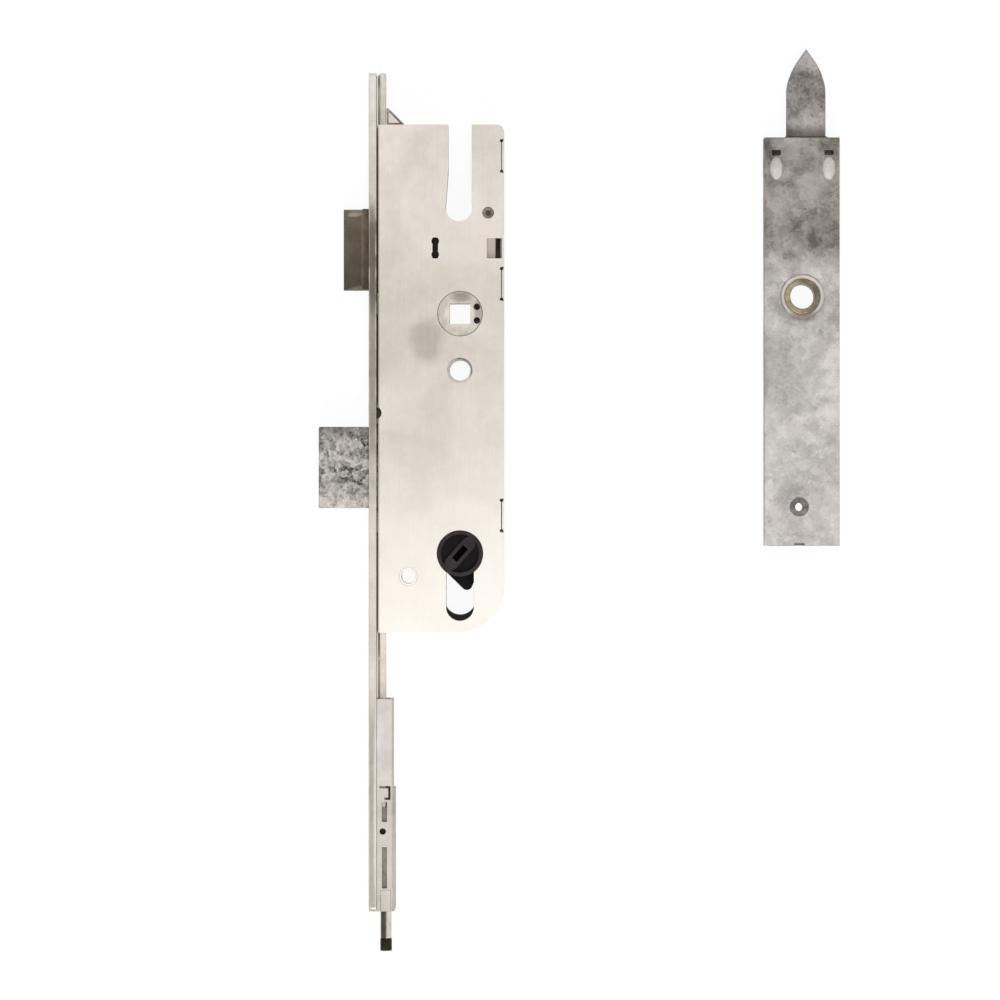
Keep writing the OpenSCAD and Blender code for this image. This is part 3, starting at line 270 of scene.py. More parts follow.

# %% Edge wear and shade: rim faces, paler where the finish has worn, and on some pieces darker as painted shade on rounded edges
tree, given, result = new_group("edge_wear_and_shade", {"Size": 150.0, "Share": 0.7}, ["Mask"])
rim = add(tree, "ShaderNodeAttribute", attribute_name="rim")
place = add(tree, "ShaderNodeTexCoord")
noise = add(tree, "ShaderNodeTexNoise", {"Detail": 4.0})
broken = add(tree, "ShaderNodeMapRange", {"From Min": 0.3, "From Max": 0.6})
kept = add(tree, "ShaderNodeMath", operation="MULTIPLY")
worn_and_shaded_edge = add(tree, "ShaderNodeMath", operation="MULTIPLY")
tree.links.new(place.outputs["Object"], noise.inputs["Vector"])
tree.links.new(given.outputs["Size"], noise.inputs["Scale"])
tree.links.new(noise.outputs["Fac"], broken.inputs["Value"])
tree.links.new(broken.outputs["Result"], kept.inputs[0])
tree.links.new(given.outputs["Share"], kept.inputs[1])
tree.links.new(kept.outputs[0], worn_and_shaded_edge.inputs[0])
tree.links.new(rim.outputs["Fac"], worn_and_shaded_edge.inputs[1])
tree.links.new(worn_and_shaded_edge.outputs[0], result.inputs["Mask"])
edge_wear_and_shade = tree

# %% Fade: a change of tone along the piece, between two places in millimetres
tree, given, result = new_group("fade", {"X": 0.0, "Y": 0.0, "Z": 0.0, "From": 0.0, "To": 10.0, "Share": 1.0},
                                ["Mask"])
place = add(tree, "ShaderNodeTexCoord")
heading = add(tree, "ShaderNodeCombineXYZ")
along = add(tree, "ShaderNodeVectorMath", operation="DOT_PRODUCT")
in_mm = add(tree, "ShaderNodeMath", {1: 1 / MM}, operation="MULTIPLY")
spread = add(tree, "ShaderNodeMapRange", interpolation_type="SMOOTHSTEP")
kept = add(tree, "ShaderNodeMath", operation="MULTIPLY")
for axis in "XYZ":
    tree.links.new(given.outputs[axis], heading.inputs[axis])
tree.links.new(place.outputs["Object"], along.inputs[0])
tree.links.new(heading.outputs[0], along.inputs[1])
tree.links.new(along.outputs["Value"], in_mm.inputs[0])
tree.links.new(in_mm.outputs[0], spread.inputs["Value"])
tree.links.new(given.outputs["From"], spread.inputs["From Min"])
tree.links.new(given.outputs["To"], spread.inputs["From Max"])
tree.links.new(spread.outputs["Result"], kept.inputs[0])
tree.links.new(given.outputs["Share"], kept.inputs[1])
tree.links.new(kept.outputs[0], result.inputs["Mask"])
fade = tree

# %% Stain and painted light: a soft oval with a frayed edge, placed in millimetres, for stains and for painted shade, shadows and highlights
OVAL_FRAY = 0.5
tree, given, result = new_group("stain_and_painted_light", {"X": 0.0, "Y": 0.0, "Wide": 5.0, "High": 5.0, "Share": 0.5},
                                ["Mask"])
place = add(tree, "ShaderNodeTexCoord")
apart = add(tree, "ShaderNodeSeparateXYZ")
tree.links.new(place.outputs["Object"], apart.inputs[0])
flat = add(tree, "ShaderNodeCombineXYZ")
for axis, size in (("X", "Wide"), ("Y", "High")):
    in_mm = add(tree, "ShaderNodeMath", {1: 1 / MM}, operation="MULTIPLY")
    shifted = add(tree, "ShaderNodeMath", operation="SUBTRACT")
    shared = add(tree, "ShaderNodeMath", operation="DIVIDE")
    tree.links.new(apart.outputs[axis], in_mm.inputs[0])
    tree.links.new(in_mm.outputs[0], shifted.inputs[0])
    tree.links.new(given.outputs[axis], shifted.inputs[1])
    tree.links.new(shifted.outputs[0], shared.inputs[0])
    tree.links.new(given.outputs[size], shared.inputs[1])
    tree.links.new(shared.outputs[0], flat.inputs[axis])
away = add(tree, "ShaderNodeVectorMath", operation="LENGTH")
noise = add(tree, "ShaderNodeTexNoise", {"Scale": 160.0, "Detail": 3.0})
frayed = add(tree, "ShaderNodeMath", {1: OVAL_FRAY}, operation="MULTIPLY_ADD")
fading = add(tree, "ShaderNodeMapRange", {"From Min": 1.25, "From Max": 0.6}, interpolation_type="SMOOTHSTEP")
kept = add(tree, "ShaderNodeMath", operation="MULTIPLY")
tree.links.new(flat.outputs[0], away.inputs[0])
tree.links.new(place.outputs["Object"], noise.inputs["Vector"])
tree.links.new(noise.outputs["Fac"], frayed.inputs[0])
tree.links.new(away.outputs["Value"], frayed.inputs[2])
tree.links.new(frayed.outputs[0], fading.inputs["Value"])
tree.links.new(fading.outputs["Result"], kept.inputs[0])
tree.links.new(given.outputs["Share"], kept.inputs[1])
tree.links.new(kept.outputs[0], result.inputs["Mask"])
stain_and_painted_light = tree

# %% Painted recess shade: darkness painted on the faces marked as deep, where shade falls in recesses
tree, given, result = new_group("painted_recess_shade", {"Size": 220.0, "Share": 0.9}, ["Mask"])
deep = add(tree, "ShaderNodeAttribute", attribute_name="deep")
place = add(tree, "ShaderNodeTexCoord")
noise = add(tree, "ShaderNodeTexNoise", {"Detail": 2.0})
uneven = add(tree, "ShaderNodeMapRange", {"From Min": 0.2, "From Max": 0.5, "To Min": 0.7})
kept = add(tree, "ShaderNodeMath", operation="MULTIPLY")
held = add(tree, "ShaderNodeMath", operation="MULTIPLY")
tree.links.new(place.outputs["Object"], noise.inputs["Vector"])
tree.links.new(given.outputs["Size"], noise.inputs["Scale"])
tree.links.new(noise.outputs["Fac"], uneven.inputs["Value"])
tree.links.new(uneven.outputs["Result"], kept.inputs[0])
tree.links.new(given.outputs["Share"], kept.inputs[1])
tree.links.new(kept.outputs[0], held.inputs[0])
tree.links.new(deep.outputs["Fac"], held.inputs[1])
tree.links.new(held.outputs[0], result.inputs["Mask"])
painted_recess_shade = tree
print("effects:", [group.name for group in (spangle, cloud, grain, edge_wear_and_shade, fade, stain_and_painted_light, painted_recess_shade)])

# %% [markdown]
# ## Metal finishes
# Plated sheet, cast zinc, drawn steel and sintered metal differ in colour, in the size of their crystals
# and in how dull they are, but they are built alike: a dark and a light tone mixed by crystals and
# patches, further pairs of tones laid over it where a fade, an oval or the painted recess shade says so,
# several of them painted light and shade, a tone on the edges that is paler where worn and on some pieces
# darker as painted shade, roughness that follows the patches, and a faint relief. One function takes those
# values, and each finish below is one call of it.


# %% The metal builder
LINE_SHARE = 0.3
MOTTLE_SPAN, DULL_SPAN = (0.25, 0.75), (0.2, 0.8)


def effect(tree, group, **values):
    """Place a node group with its own values; gives the mask that it puts out."""
    node = add(tree, "ShaderNodeGroup", node_tree=group)
    for key, value in values.items():
        node.inputs[key].default_value = value
    return node.outputs["Mask"]


def mix_tones(tree, mask, first, second):
    """Mix two colours by a mask. Each is a colour or an output of another node."""
    node = add(tree, "ShaderNodeMix", data_type="RGBA")
    for label, colour in (("A", first), ("B", second)):
        socket = next(s for s in node.inputs if s.name == label and s.type == "RGBA")
        if isinstance(colour, tuple):
            socket.default_value = colour
        else:
            tree.links.new(colour, socket)
    tree.links.new(mask, node.inputs["Factor"])
    return next(s for s in node.outputs if s.type == "RGBA")


def new_finish(name):
    """An empty material with its shader; gives the material, the tree and the Principled shader."""
    finish = bpy.data.materials.new(name)
    finish.use_nodes = True
    tree = finish.node_tree
    return finish, tree, tree.nodes["Principled BSDF"]


def relief(tree, shader, height, depth):
    """Feed a height mask into the shader's normal, with a depth in millimetres."""
    bump = add(tree, "ShaderNodeBump", {"Strength": 0.6, "Distance": depth * MM})
    tree.links.new(height, bump.inputs["Height"])
    tree.links.new(bump.outputs["Normal"], shader.inputs["Normal"])


def metal(name, dark, light, worn_and_shaded_edge, crystal, fray, patch, patch_share, dull, metallic, depth, lines=None,
          layers=(), edge_wear_and_shade_share=0.7, shine=0.5):
    """A metal finish: tones, crystals and patches per metre, dullness range, relief depth in mm."""
    finish, tree, shader = new_finish(name)
    crystals = effect(tree, spangle, Size=crystal, Fray=fray)
    patches = effect(tree, cloud, Size=patch, Low=0.34, High=0.66)
    mask = blend_values(tree, patch_share, crystals, patches)
    if lines:
        mask = blend_values(tree, LINE_SHARE, mask, effect(tree, grain, Across=lines[0], Along=lines[1]))
    mottle = stretch(tree, mask, *MOTTLE_SPAN)
    colour = mix_tones(tree, mottle, dark, light)
    for group, values, *tones in layers:
        colour = mix_tones(tree, effect(tree, group, **values), colour, mix_tones(tree, mottle, *tones))
    colour = mix_tones(tree, effect(tree, edge_wear_and_shade, Share=edge_wear_and_shade_share), colour, worn_and_shaded_edge)
    tree.links.new(colour, shader.inputs["Base Color"])
    tree.links.new(stretch(tree, mask, *DULL_SPAN, dull[1], dull[0]), shader.inputs["Roughness"])
    shader.inputs["Metallic"].default_value = metallic
    shader.inputs["Specular IOR Level"].default_value = shine
    relief(tree, shader, mask, depth)
    print("finish", name, "made with", len(tree.nodes), "nodes")
    return finish


# %% The finishes of the lock case
# The plating is dull at the height of the handle and gets paler towards the top. Towards the cylinder it
# gets paler still: that is painted light, as the light falls from below.
top_glow = (fade, {"Y": 1.0, "From": 8.0, "To": 60.0}, tone(216, 207, 198), tone(238, 229, 220))
low_painted_light = (fade, {"Y": -1.0, "From": 30.0, "To": 116.0}, tone(245, 238, 228), tone(252, 247, 239))
sheet_zinc = metal("sheet zinc", dark=tone(210, 202, 191), light=tone(230, 222, 211),
                   worn_and_shaded_edge=tone(240, 235, 226), crystal=160, fray=1.2, patch=34, patch_share=0.65,
                   dull=(0.36, 0.52), metallic=0.4, depth=0.02, lines=(1500, 40),
                   layers=[top_glow, low_painted_light,
                           (stain_and_painted_light, {"X": -12.6, "Y": -10.0, "Wide": 8.5, "High": 12.5, "Share": 0.85},
                            tone(176, 169, 158), tone(196, 189, 178)),
                           # painted shade: the faces marked as deep, inside the tray and in the holes beside
                           # the rear tabs, are painted dark
                           (painted_recess_shade, {}, tone(30, 26, 22), tone(52, 46, 40))])
housing_zinc = metal("housing zinc", dark=tone(200, 194, 188), light=tone(224, 217, 211),
                     worn_and_shaded_edge=tone(164, 159, 148), crystal=200, fray=1.4, patch=60, patch_share=0.55,
                     dull=(0.36, 0.52), metallic=0.4, depth=0.02, lines=(1500, 60),
                     layers=[(fade, {"Y": -1.0, "From": 172.0, "To": 212.0, "Share": 0.9},
                              tone(182, 175, 166), tone(208, 201, 193)),
                             # painted shade: the right side wall of the housing, turned away from the light,
                             # is darker
                             (fade, {"X": 1.0, "From": -26.6, "To": -25.7, "Share": 0.9},
                              tone(158, 153, 142), tone(182, 176, 165)),
                             (painted_recess_shade, {"Share": 0.75}, tone(70, 64, 56), tone(96, 90, 80))])
rivet_steel = metal("rivet steel", dark=tone(122, 112, 103), light=tone(168, 158, 147), worn_and_shaded_edge=tone(84, 75, 68),
                    crystal=600, fray=1.2, patch=200, patch_share=0.5, dull=(0.34, 0.5), metallic=0.5,
                    depth=0.02, edge_wear_and_shade_share=1.0,
                    layers=[(stain_and_painted_light, {"X": 10.8, "Y": 38.7, "Wide": 1.3, "High": 1.3, "Share": 0.95},
                             tone(62, 54, 48), tone(86, 77, 70))])

# %% The finishes of the rail and the bars
# The rail is darkest beside the latch and pale at its top. Its lower end is
# dull, with a pale strip along the inner edge.
rail_steel = metal("rail steel", dark=tone(202, 194, 183), light=tone(226, 219, 208),
                   worn_and_shaded_edge=tone(206, 202, 190), crystal=420, fray=1.5, patch=60, patch_share=0.5,
                   dull=(0.34, 0.52), metallic=0.5, depth=0.02, lines=(1800, 25),
                   layers=[(fade, {"Y": 1.0, "From": 55.0, "To": 90.0},
                            tone(216, 211, 199), tone(238, 233, 222)),
                           (stain_and_painted_light, {"X": -33.0, "Y": -12.0, "Wide": 400.0, "High": 76.0, "Share": 0.95},
                            tone(134, 127, 115), tone(160, 152, 140)),
                           (stain_and_painted_light, {"X": -33.0, "Y": 21.0, "Wide": 400.0, "High": 30.0, "Share": 0.9},
                            tone(88, 80, 72), tone(112, 104, 95)),
                           (fade, {"Y": -1.0, "From": 138.0, "To": 165.0, "Share": 0.9},
                            tone(156, 151, 139), tone(178, 172, 160)),
                           (stain_and_painted_light, {"X": -31.9, "Y": -190.0, "Wide": 1.6, "High": 60.0, "Share": 0.9},
                            tone(220, 213, 207), tone(238, 231, 226))])
connector_steel = metal("connector steel", dark=tone(116, 110, 99), light=tone(148, 141, 130),
                        worn_and_shaded_edge=tone(160, 153, 142), crystal=700, fray=1.0, patch=120, patch_share=0.5,
                        dull=(0.34, 0.52), metallic=0.5, depth=0.01,
                        # painted shade: the hole in the lug under the cover's notch, marked as deep, is
                        # painted dark
                        layers=[(painted_recess_shade, {}, tone(44, 38, 34), tone(68, 60, 54))])
bar_steel = metal("bar steel", dark=tone(196, 187, 176), light=tone(230, 222, 210), worn_and_shaded_edge=tone(206, 200, 188),
                  crystal=420, fray=1.5, patch=80, patch_share=0.5, dull=(0.34, 0.50), metallic=0.5,
                  depth=0.02, lines=(1800, 25))
gusset_steel = metal("gusset steel", dark=tone(216, 206, 198), light=tone(236, 227, 220),
                     worn_and_shaded_edge=tone(124, 113, 102), crystal=420, fray=1.5, patch=80, patch_share=0.5,
                     dull=(0.36, 0.52), metallic=0.4, depth=0.02, edge_wear_and_shade_share=1.0)
rod_steel = metal("rod steel", dark=tone(52, 47, 38), light=tone(84, 78, 66), worn_and_shaded_edge=tone(120, 113, 100),
                  crystal=700, fray=1.0, patch=90, patch_share=0.5, dull=(0.28, 0.44), metallic=0.6,
                  depth=0.01,
                  # painted highlight: the right side of the round rod is pale
                  layers=[(fade, {"X": 1.0, "From": -28.9, "To": -27.6},
                           tone(196, 190, 178), tone(226, 220, 208))])
bright_steel = metal("bright steel", dark=tone(168, 162, 155), light=tone(208, 203, 196),
                     worn_and_shaded_edge=tone(228, 223, 216), crystal=700, fray=0.8, patch=120, patch_share=0.4,
                     dull=(0.26, 0.42), metallic=0.7, depth=0.01, lines=(2500, 120))
spring_steel = metal("spring steel", dark=tone(96, 93, 91), light=tone(150, 147, 143),
                     worn_and_shaded_edge=tone(176, 172, 166), crystal=900, fray=0.8, patch=200, patch_share=0.5,
                     dull=(0.25, 0.40), metallic=0.9, depth=0.005)
dark_steel = metal("dark steel", dark=tone(24, 20, 16), light=tone(50, 43, 36), worn_and_shaded_edge=tone(84, 76, 66),
                   crystal=900, fray=0.8, patch=150, patch_share=0.5, dull=(0.34, 0.52), metallic=0.5,
                   depth=0.01, shine=0.2)

# %% The finishes of the bolts and the handle hub
latch_metal = metal("latch metal", dark=tone(92, 81, 68), light=tone(112, 101, 87), worn_and_shaded_edge=tone(128, 118, 102),
                    crystal=1600, fray=0.8, patch=90, patch_share=0.5, dull=(0.38, 0.58), metallic=0.4,
                    depth=0.02, shine=0.3,
                    layers=[(fade, {"Y": -1.0, "From": -38.0, "To": -10.0},
                             tone(66, 56, 44), tone(88, 77, 64)),
                            # painted highlight on the top chamfer of the latch
                            (stain_and_painted_light, {"X": -40.5, "Y": 38.4, "Wide": 4.0, "High": 1.3, "Share": 0.75},
                             tone(158, 147, 130), tone(190, 180, 163))])
bolt_zinc = metal("bolt zinc", dark=tone(56, 52, 48), light=tone(206, 200, 194), worn_and_shaded_edge=tone(108, 104, 94),
                  crystal=440, fray=0.9, patch=110, patch_share=0.2, dull=(0.34, 0.54), metallic=0.4,
                  depth=0.04,
                  layers=[(fade, {"Y": -1.0, "From": 66.0, "To": 74.0, "Share": 0.8},
                           tone(150, 144, 135), tone(228, 222, 213)),
                          (fade, {"Y": 1.0, "From": -49.0, "To": -44.5, "Share": 0.6},
                           tone(88, 83, 77), tone(150, 144, 138))])
hub_zinc = metal("hub zinc", dark=tone(182, 174, 162), light=tone(214, 206, 194), worn_and_shaded_edge=tone(184, 176, 164),
                 crystal=500, fray=1.2, patch=150, patch_share=0.5, dull=(0.36, 0.52), metallic=0.4,
                 depth=0.02,
                 # painted shade: a paler middle darkening towards the collar's rim, a painted shadow above
                 # the square, and a darker patch to its right
                 layers=[(stain_and_painted_light, {"Wide": 9.4, "High": 9.4, "Share": 1.0},
                          tone(206, 198, 186), tone(230, 222, 211)),
                         (stain_and_painted_light, {"Y": 6.3, "Wide": 5.4, "High": 2.8, "Share": 0.85},
                          tone(146, 138, 130), tone(172, 164, 156)),
                         (stain_and_painted_light, {"X": 7.2, "Wide": 2.4, "High": 6.5, "Share": 0.75},
                          tone(140, 132, 125), tone(168, 160, 152)),
                         # painted shade: the blind holes, marked as deep, are painted black
                         (painted_recess_shade, {"Share": 1.0}, tone(4, 3, 2), tone(14, 11, 9))])
sleeve_steel = metal("sleeve steel", dark=tone(168, 162, 155), light=tone(208, 203, 196),
                     worn_and_shaded_edge=tone(214, 208, 200), crystal=700, fray=0.8, patch=120, patch_share=0.4,
                     dull=(0.26, 0.42), metallic=0.5, depth=0.01,
                     # painted shade: the inner wall of the hole is darker at the upper right
                     layers=[(fade, {"X": 0.7, "Y": 0.7, "From": -14.6, "To": -12.4, "Share": 0.9},
                              tone(92, 85, 78), tone(124, 116, 108))])

# %% The finishes of the shootbolt unit
# Its upper third is darker than the rest: painted shade, as the light falls from below. What stands proud
# of its cover is rubbed pale, and its darker edge tone is painted shade on the rounded edges.
unit_zinc = metal("unit zinc", dark=tone(162, 157, 153), light=tone(216, 211, 207), worn_and_shaded_edge=tone(134, 129, 122),
                  crystal=260, fray=2.2, patch=48, patch_share=0.5, dull=(0.36, 0.56), metallic=0.4,
                  depth=0.04,
                  layers=[(fade, {"Y": 1.0, "From": 14.0, "To": 30.0}, tone(90, 83, 78), tone(174, 167, 161)),
                          (fade, {"Z": 1.0, "From": 10.03, "To": 10.3, "Share": 0.85},
                           tone(196, 188, 181), tone(222, 214, 206)),
                          # painted shadow below the lip of the pivot eyelet
                          (stain_and_painted_light, {"X": 131.7, "Y": -0.6, "Wide": 7.5, "High": 3.2, "Share": 0.75},
                           tone(116, 101, 94), tone(146, 130, 122)),
                          # painted shade: the floor of the notch in the foot, marked as deep, is painted dark
                          (painted_recess_shade, {}, tone(48, 48, 38), tone(76, 74, 60))])
tongue_zinc = metal("tongue zinc", dark=tone(88, 81, 77), light=tone(182, 175, 171), worn_and_shaded_edge=tone(122, 117, 106),
                    crystal=420, fray=2.0, patch=70, patch_share=0.45, dull=(0.38, 0.58), metallic=0.4,
                    depth=0.05,
                    # painted shadow: the edge of the unit's cover shades the base of the tongue
                    layers=[(fade, {"Y": -1.0, "From": -74.0, "To": -69.5, "Share": 0.85},
                             tone(82, 75, 71), tone(110, 102, 98))])
aged_bronze = metal("aged bronze", dark=tone(124, 112, 86), light=tone(178, 166, 138),
                    worn_and_shaded_edge=tone(204, 194, 170), crystal=700, fray=1.2, patch=160, patch_share=0.5,
                    dull=(0.30, 0.48), metallic=0.5, depth=0.02,
                    # painted shade: the ring and funnel of the eyelet are darker at the upper right
                    layers=[(fade, {"X": 0.8, "Y": 0.6, "From": 108.0, "To": 114.0, "Share": 0.85},
                             tone(80, 72, 54), tone(124, 113, 90))])
eyelet_steel = metal("eyelet steel", dark=tone(94, 87, 83), light=tone(142, 133, 128),
                     worn_and_shaded_edge=tone(164, 155, 149), crystal=700, fray=1.0, patch=200, patch_share=0.5,
                     dull=(0.34, 0.52), metallic=0.5, depth=0.01)

# %% [markdown]
# ## Moulded plastic
# The cylinder hub, its lining, the guides and the tongue's collar are moulded. Moulded plastic has no
# crystals: its colour is even, with a soft cloudiness, a very fine stipple from the mould, and paler
# rubbed edges.


# %% The plastic builder and its finishes
STIPPLE_SHARE, STIPPLE_DEPTH = 0.4, 0.03


def plastic(name, dark, light, worn_and_shaded_edge, dull, layers=(), shine=0.15):
    """A moulded plastic: two close tones, layers over them, paler edges and a fine stipple."""
    finish, tree, shader = new_finish(name)
    patches = effect(tree, cloud, Size=120.0, Low=0.35, High=0.65)
    stipple = effect(tree, grain, Across=3800.0, Along=3800.0)
    mask = blend_values(tree, STIPPLE_SHARE, patches, stipple)
    colour = mix_tones(tree, mask, dark, light)
    for group, values, *tones in layers:
        colour = mix_tones(tree, effect(tree, group, **values), colour, mix_tones(tree, mask, *tones))
    colour = mix_tones(tree, effect(tree, edge_wear_and_shade, Share=0.5), colour, worn_and_shaded_edge)
    tree.links.new(colour, shader.inputs["Base Color"])
    tree.links.new(stretch(tree, mask, *DULL_SPAN, *dull), shader.inputs["Roughness"])
    shader.inputs["Specular IOR Level"].default_value = shine
    relief(tree, shader, stipple, STIPPLE_DEPTH)
    print("finish", name, "made with", len(tree.nodes), "nodes")
    return finish


black_plastic = plastic("black plastic", dark=tone(16, 12, 12), light=tone(30, 25, 24), worn_and_shaded_edge=tone(46, 40, 38),
                        dull=(0.55, 0.75))
hub_plastic = plastic("hub plastic", dark=tone(6, 4, 4), light=tone(16, 12, 12), worn_and_shaded_edge=tone(54, 47, 47),
                      dull=(0.55, 0.75),
                      layers=[(fade, {"Z": 1.0, "From": 14.9, "To": 15.3, "Share": 0.9},
                               tone(42, 36, 37), tone(68, 60, 62))])
collar_plastic = plastic("collar plastic", dark=tone(56, 50, 45), light=tone(88, 80, 73),
                         worn_and_shaded_edge=tone(120, 112, 104), dull=(0.45, 0.62))
pale_plastic = plastic("pale plastic", dark=tone(176, 166, 157), light=tone(200, 190, 182),
                       worn_and_shaded_edge=tone(226, 220, 212), dull=(0.45, 0.60), shine=0.5)

# %% [markdown]
# ## Rounding chosen edges
# Most edges only need the narrow bevel, but some are formed on purpose: an eyelet has a rolled lip, the
# tongue's shoulders swell in a curve, and the bolt housing has a corner cut off. Those edges are picked by
# where they are, and the bevel operator rounds only them, before the narrow bevel takes the rest. Faces are
# picked the same way where shade is painted into recesses.

# %% A bevel on picked edges, and a mark on picked faces
TOUCH = 0.05


def round_edges(piece, pick, width, segments=4):
    """Round the edges whose both ends pass a test on their place, given in millimetres."""
    only(piece)
    bpy.ops.object.mode_set(mode="EDIT")
    bpy.ops.mesh.select_mode(type="EDGE")
    bpy.ops.mesh.select_all(action="DESELECT")
    bpy.ops.object.mode_set(mode="OBJECT")
    mesh = piece.data
    inside = [pick(*(vertex.co / MM)) for vertex in mesh.vertices]
    picked = 0
    for edge in mesh.edges:
        edge.select = inside[edge.vertices[0]] and inside[edge.vertices[1]]
        picked += edge.select
    bpy.ops.object.mode_set(mode="EDIT")
    bpy.ops.mesh.bevel(offset=width * MM, segments=segments, affect="EDGES", clamp_overlap=True)
    bpy.ops.object.mode_set(mode="OBJECT")
    print(piece.name, "rounds", picked, "edges by", width, "mm")


def mark_deep(piece, pick):
    """Mark the faces whose middle passes a test on its place, given in millimetres, as deep."""
    deep = piece.data.attributes.new("deep", "FLOAT", "FACE")
    count = 0
    for face in piece.data.polygons:
        inside = bool(pick(*(face.center / MM)))
        deep.data[face.index].value = float(inside)
        count += inside
    print(piece.name, "has", count, "deep faces")


def near(value, target, room=0.03):
    """True if a coordinate is at a place, within a little room."""
    return abs(value - target) < room


def reach(node):
    """The lowest and highest corner of a CAD node, in millimetres."""
    low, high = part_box(node)
    return Vector(low) / MM, Vector(high) / MM


# %% [markdown]
# ## The case cover
# The cover is sheet steel, folded down along the faceplate. A fold can't be sharp: its outside is round by
# a millimetre here, and that bend catches the light along the whole case. The round notch
# breaks the fold's edge, where a bevel would run out of room, so the bend is cut instead: a bar along the
# edge, hollowed by a roller of the bend's radius, is taken away from the cover.


# %% Case cover with its fold
def take_away(piece, tool):
    """Cut one object out of another with a Boolean, and delete the tool."""
    cut = piece.modifiers.new("cut", "BOOLEAN")
    cut.operation = "DIFFERENCE"
    cut.object = tool
    apply_all(piece)
    bpy.data.objects.remove(tool)
    return piece


def bend_bar(low, high, radius):
    """A bar along the fold's edge, hollowed to the bend's radius, that crosses both faces cleanly."""
    length, middle, over, slack = high.y - low.y, (low.y + high.y) / 2, 1.0, 0.02
    side = radius + over
    bpy.ops.object.select_all(action="DESELECT")
    bpy.ops.mesh.primitive_cube_add(size=1.0)
    bar = bpy.context.object
    bar.scale = Vector((side, length + 2 * over, side)) * MM
    bar.location = Vector((low.x + radius - side / 2, middle, high.z - radius + side / 2)) * MM
    bpy.ops.object.transform_apply(location=True, rotation=True, scale=True)
    bpy.ops.object.select_all(action="DESELECT")
    bpy.ops.mesh.primitive_cylinder_add(vertices=48, radius=radius * MM, depth=(length + 4 * over) * MM,
                                        rotation=(math.pi / 2, 0, 0))
    roller = bpy.context.object
    roller.location = Vector((low.x + radius - slack, middle, high.z - radius + slack)) * MM
    bpy.ops.object.transform_apply(location=True, rotation=True, scale=True)
    return take_away(bar, roller)


low, high = reach("case_cover")
cover = take_away(cad_copy("case_cover", "case-cover"), bend_bar(low, high, radius=1.0))
dress(soften(cover, width=0.16), "case_cover", sheet_zinc)

# %% [markdown]
# The tray behind it is marked as deep on its inner faces, and the sheet finish paints them dark as shade,
# so that every slot in the cover looks into a dark case. The round holes beside the rear tabs and the hole in
# the lug under the cover's round notch get the same painted shade.

# %% Case tray with its inside painted dark as shade, and the lugs
low, high = reach("case_tray")
SHEET, CORNER, OPEN_SIDE = 1.5, 18.0, 4.0
TAB_HOLE_FLOOR, TAB_HOLE_TOP, TAB_HOLE_FRONT, TAB_HOLE_BACK = 3.5, 0.3, 1.7, 0.25


def within_walls(x, y):
    """True if a place in the plan is on or inside the inner face of the tray's walls."""
    from_corner = math.hypot(max(x - high.x + CORNER, 0), max(low.y + CORNER - y, 0))
    return x > low.x + OPEN_SIDE and y < high.y - SHEET + TOUCH and from_corner < CORNER - SHEET + TOUCH


def in_tab_hole(x, z):
    """True if a place is in the band of the holes beside the rear tabs, under the tray's upper edge."""
    under_edge = high.z - TAB_HOLE_FLOOR - TOUCH < z < high.z - TAB_HOLE_TOP
    return under_edge and high.x - TAB_HOLE_FRONT < x < high.x - TAB_HOLE_BACK


tray = soften(cad_copy("case_tray", "case-tray"), width=0.2)
mark_deep(tray, lambda x, y, z: z > low.z + SHEET - TOUCH and within_walls(x, y) or in_tab_hole(x, z))
dress(tray, "case_tray", sheet_zinc)

low, high = reach("case_lugs")
LUG_HOLE_Y, LUG_HOLE_R, LUG_HOLE_FLOOR, LUG_HOLE_TOP, LUG_HOLE_BACK = -38.0, 2.5, 3.0, 0.1, 2.6
lugs = soften(cad_copy("case_lugs", "case-lugs"), width=0.15)
# the hole in the lug is marked as deep, to be painted dark as shade
mark_deep(lugs, lambda x, y, z: near(y, LUG_HOLE_Y, LUG_HOLE_R)
          and low.x + TOUCH < x < low.x + LUG_HOLE_BACK
          and high.z - LUG_HOLE_FLOOR - TOUCH < z < high.z - LUG_HOLE_TOP)
dress(lugs, "case_lugs", connector_steel)

# %% [markdown]
# ## The bolts
# The latch is a sintered block with one long bevel, so that it rides up the strike, and the deadbolt is a
# cast block, tumbled after casting. Both have their edges rounded in three steps, because solid blocks show
# a fuller round than sheet does.

# %% Latch and deadbolt
dress(soften(cad_copy("latch_bolt", "latch"), width=0.3, segments=3), "latch_bolt", latch_metal)
dress(soften(cad_copy("deadbolt", "deadbolt-block"), width=0.25, segments=3), "deadbolt", bolt_zinc)

# %% [markdown]
# ## The handle follower
# The follower's collar shows in the case as a round of cast zinc with the square for the handle's spindle.
# Two small blind holes beside the square are painted black as shade, so their faces are marked as deep.

# %% Follower with its holes painted dark as shade
low, high = reach("follower")
BLIND_X, BLIND_Y, BLIND_R, BLIND_DEPTH, BLIND_LIP = 6.49, 2.62, 1.3, 3.0, 0.08
follower = soften(cad_copy("follower", "handle-follower"), width=0.1)
mark_deep(follower, lambda x, y, z: high.z - BLIND_DEPTH - TOUCH < z < high.z - BLIND_LIP
          and math.hypot(x - BLIND_X, abs(y) - BLIND_Y) < BLIND_R)
dress(follower, "follower", hub_zinc)

# %% [markdown]
# ## The shootbolt unit's eyelets
# A bronze eyelet runs through the unit, and its ends are rolled over. The bore opens in a smooth funnel
# and the ring's outer edge is round, so both rims of the ring get a wide bevel of their own. A smaller
# steel eyelet near the unit's foot is made the same way.

# %% Rolled eyelets
BORE_SHARE, RING_ROOM = 0.8, 0.1


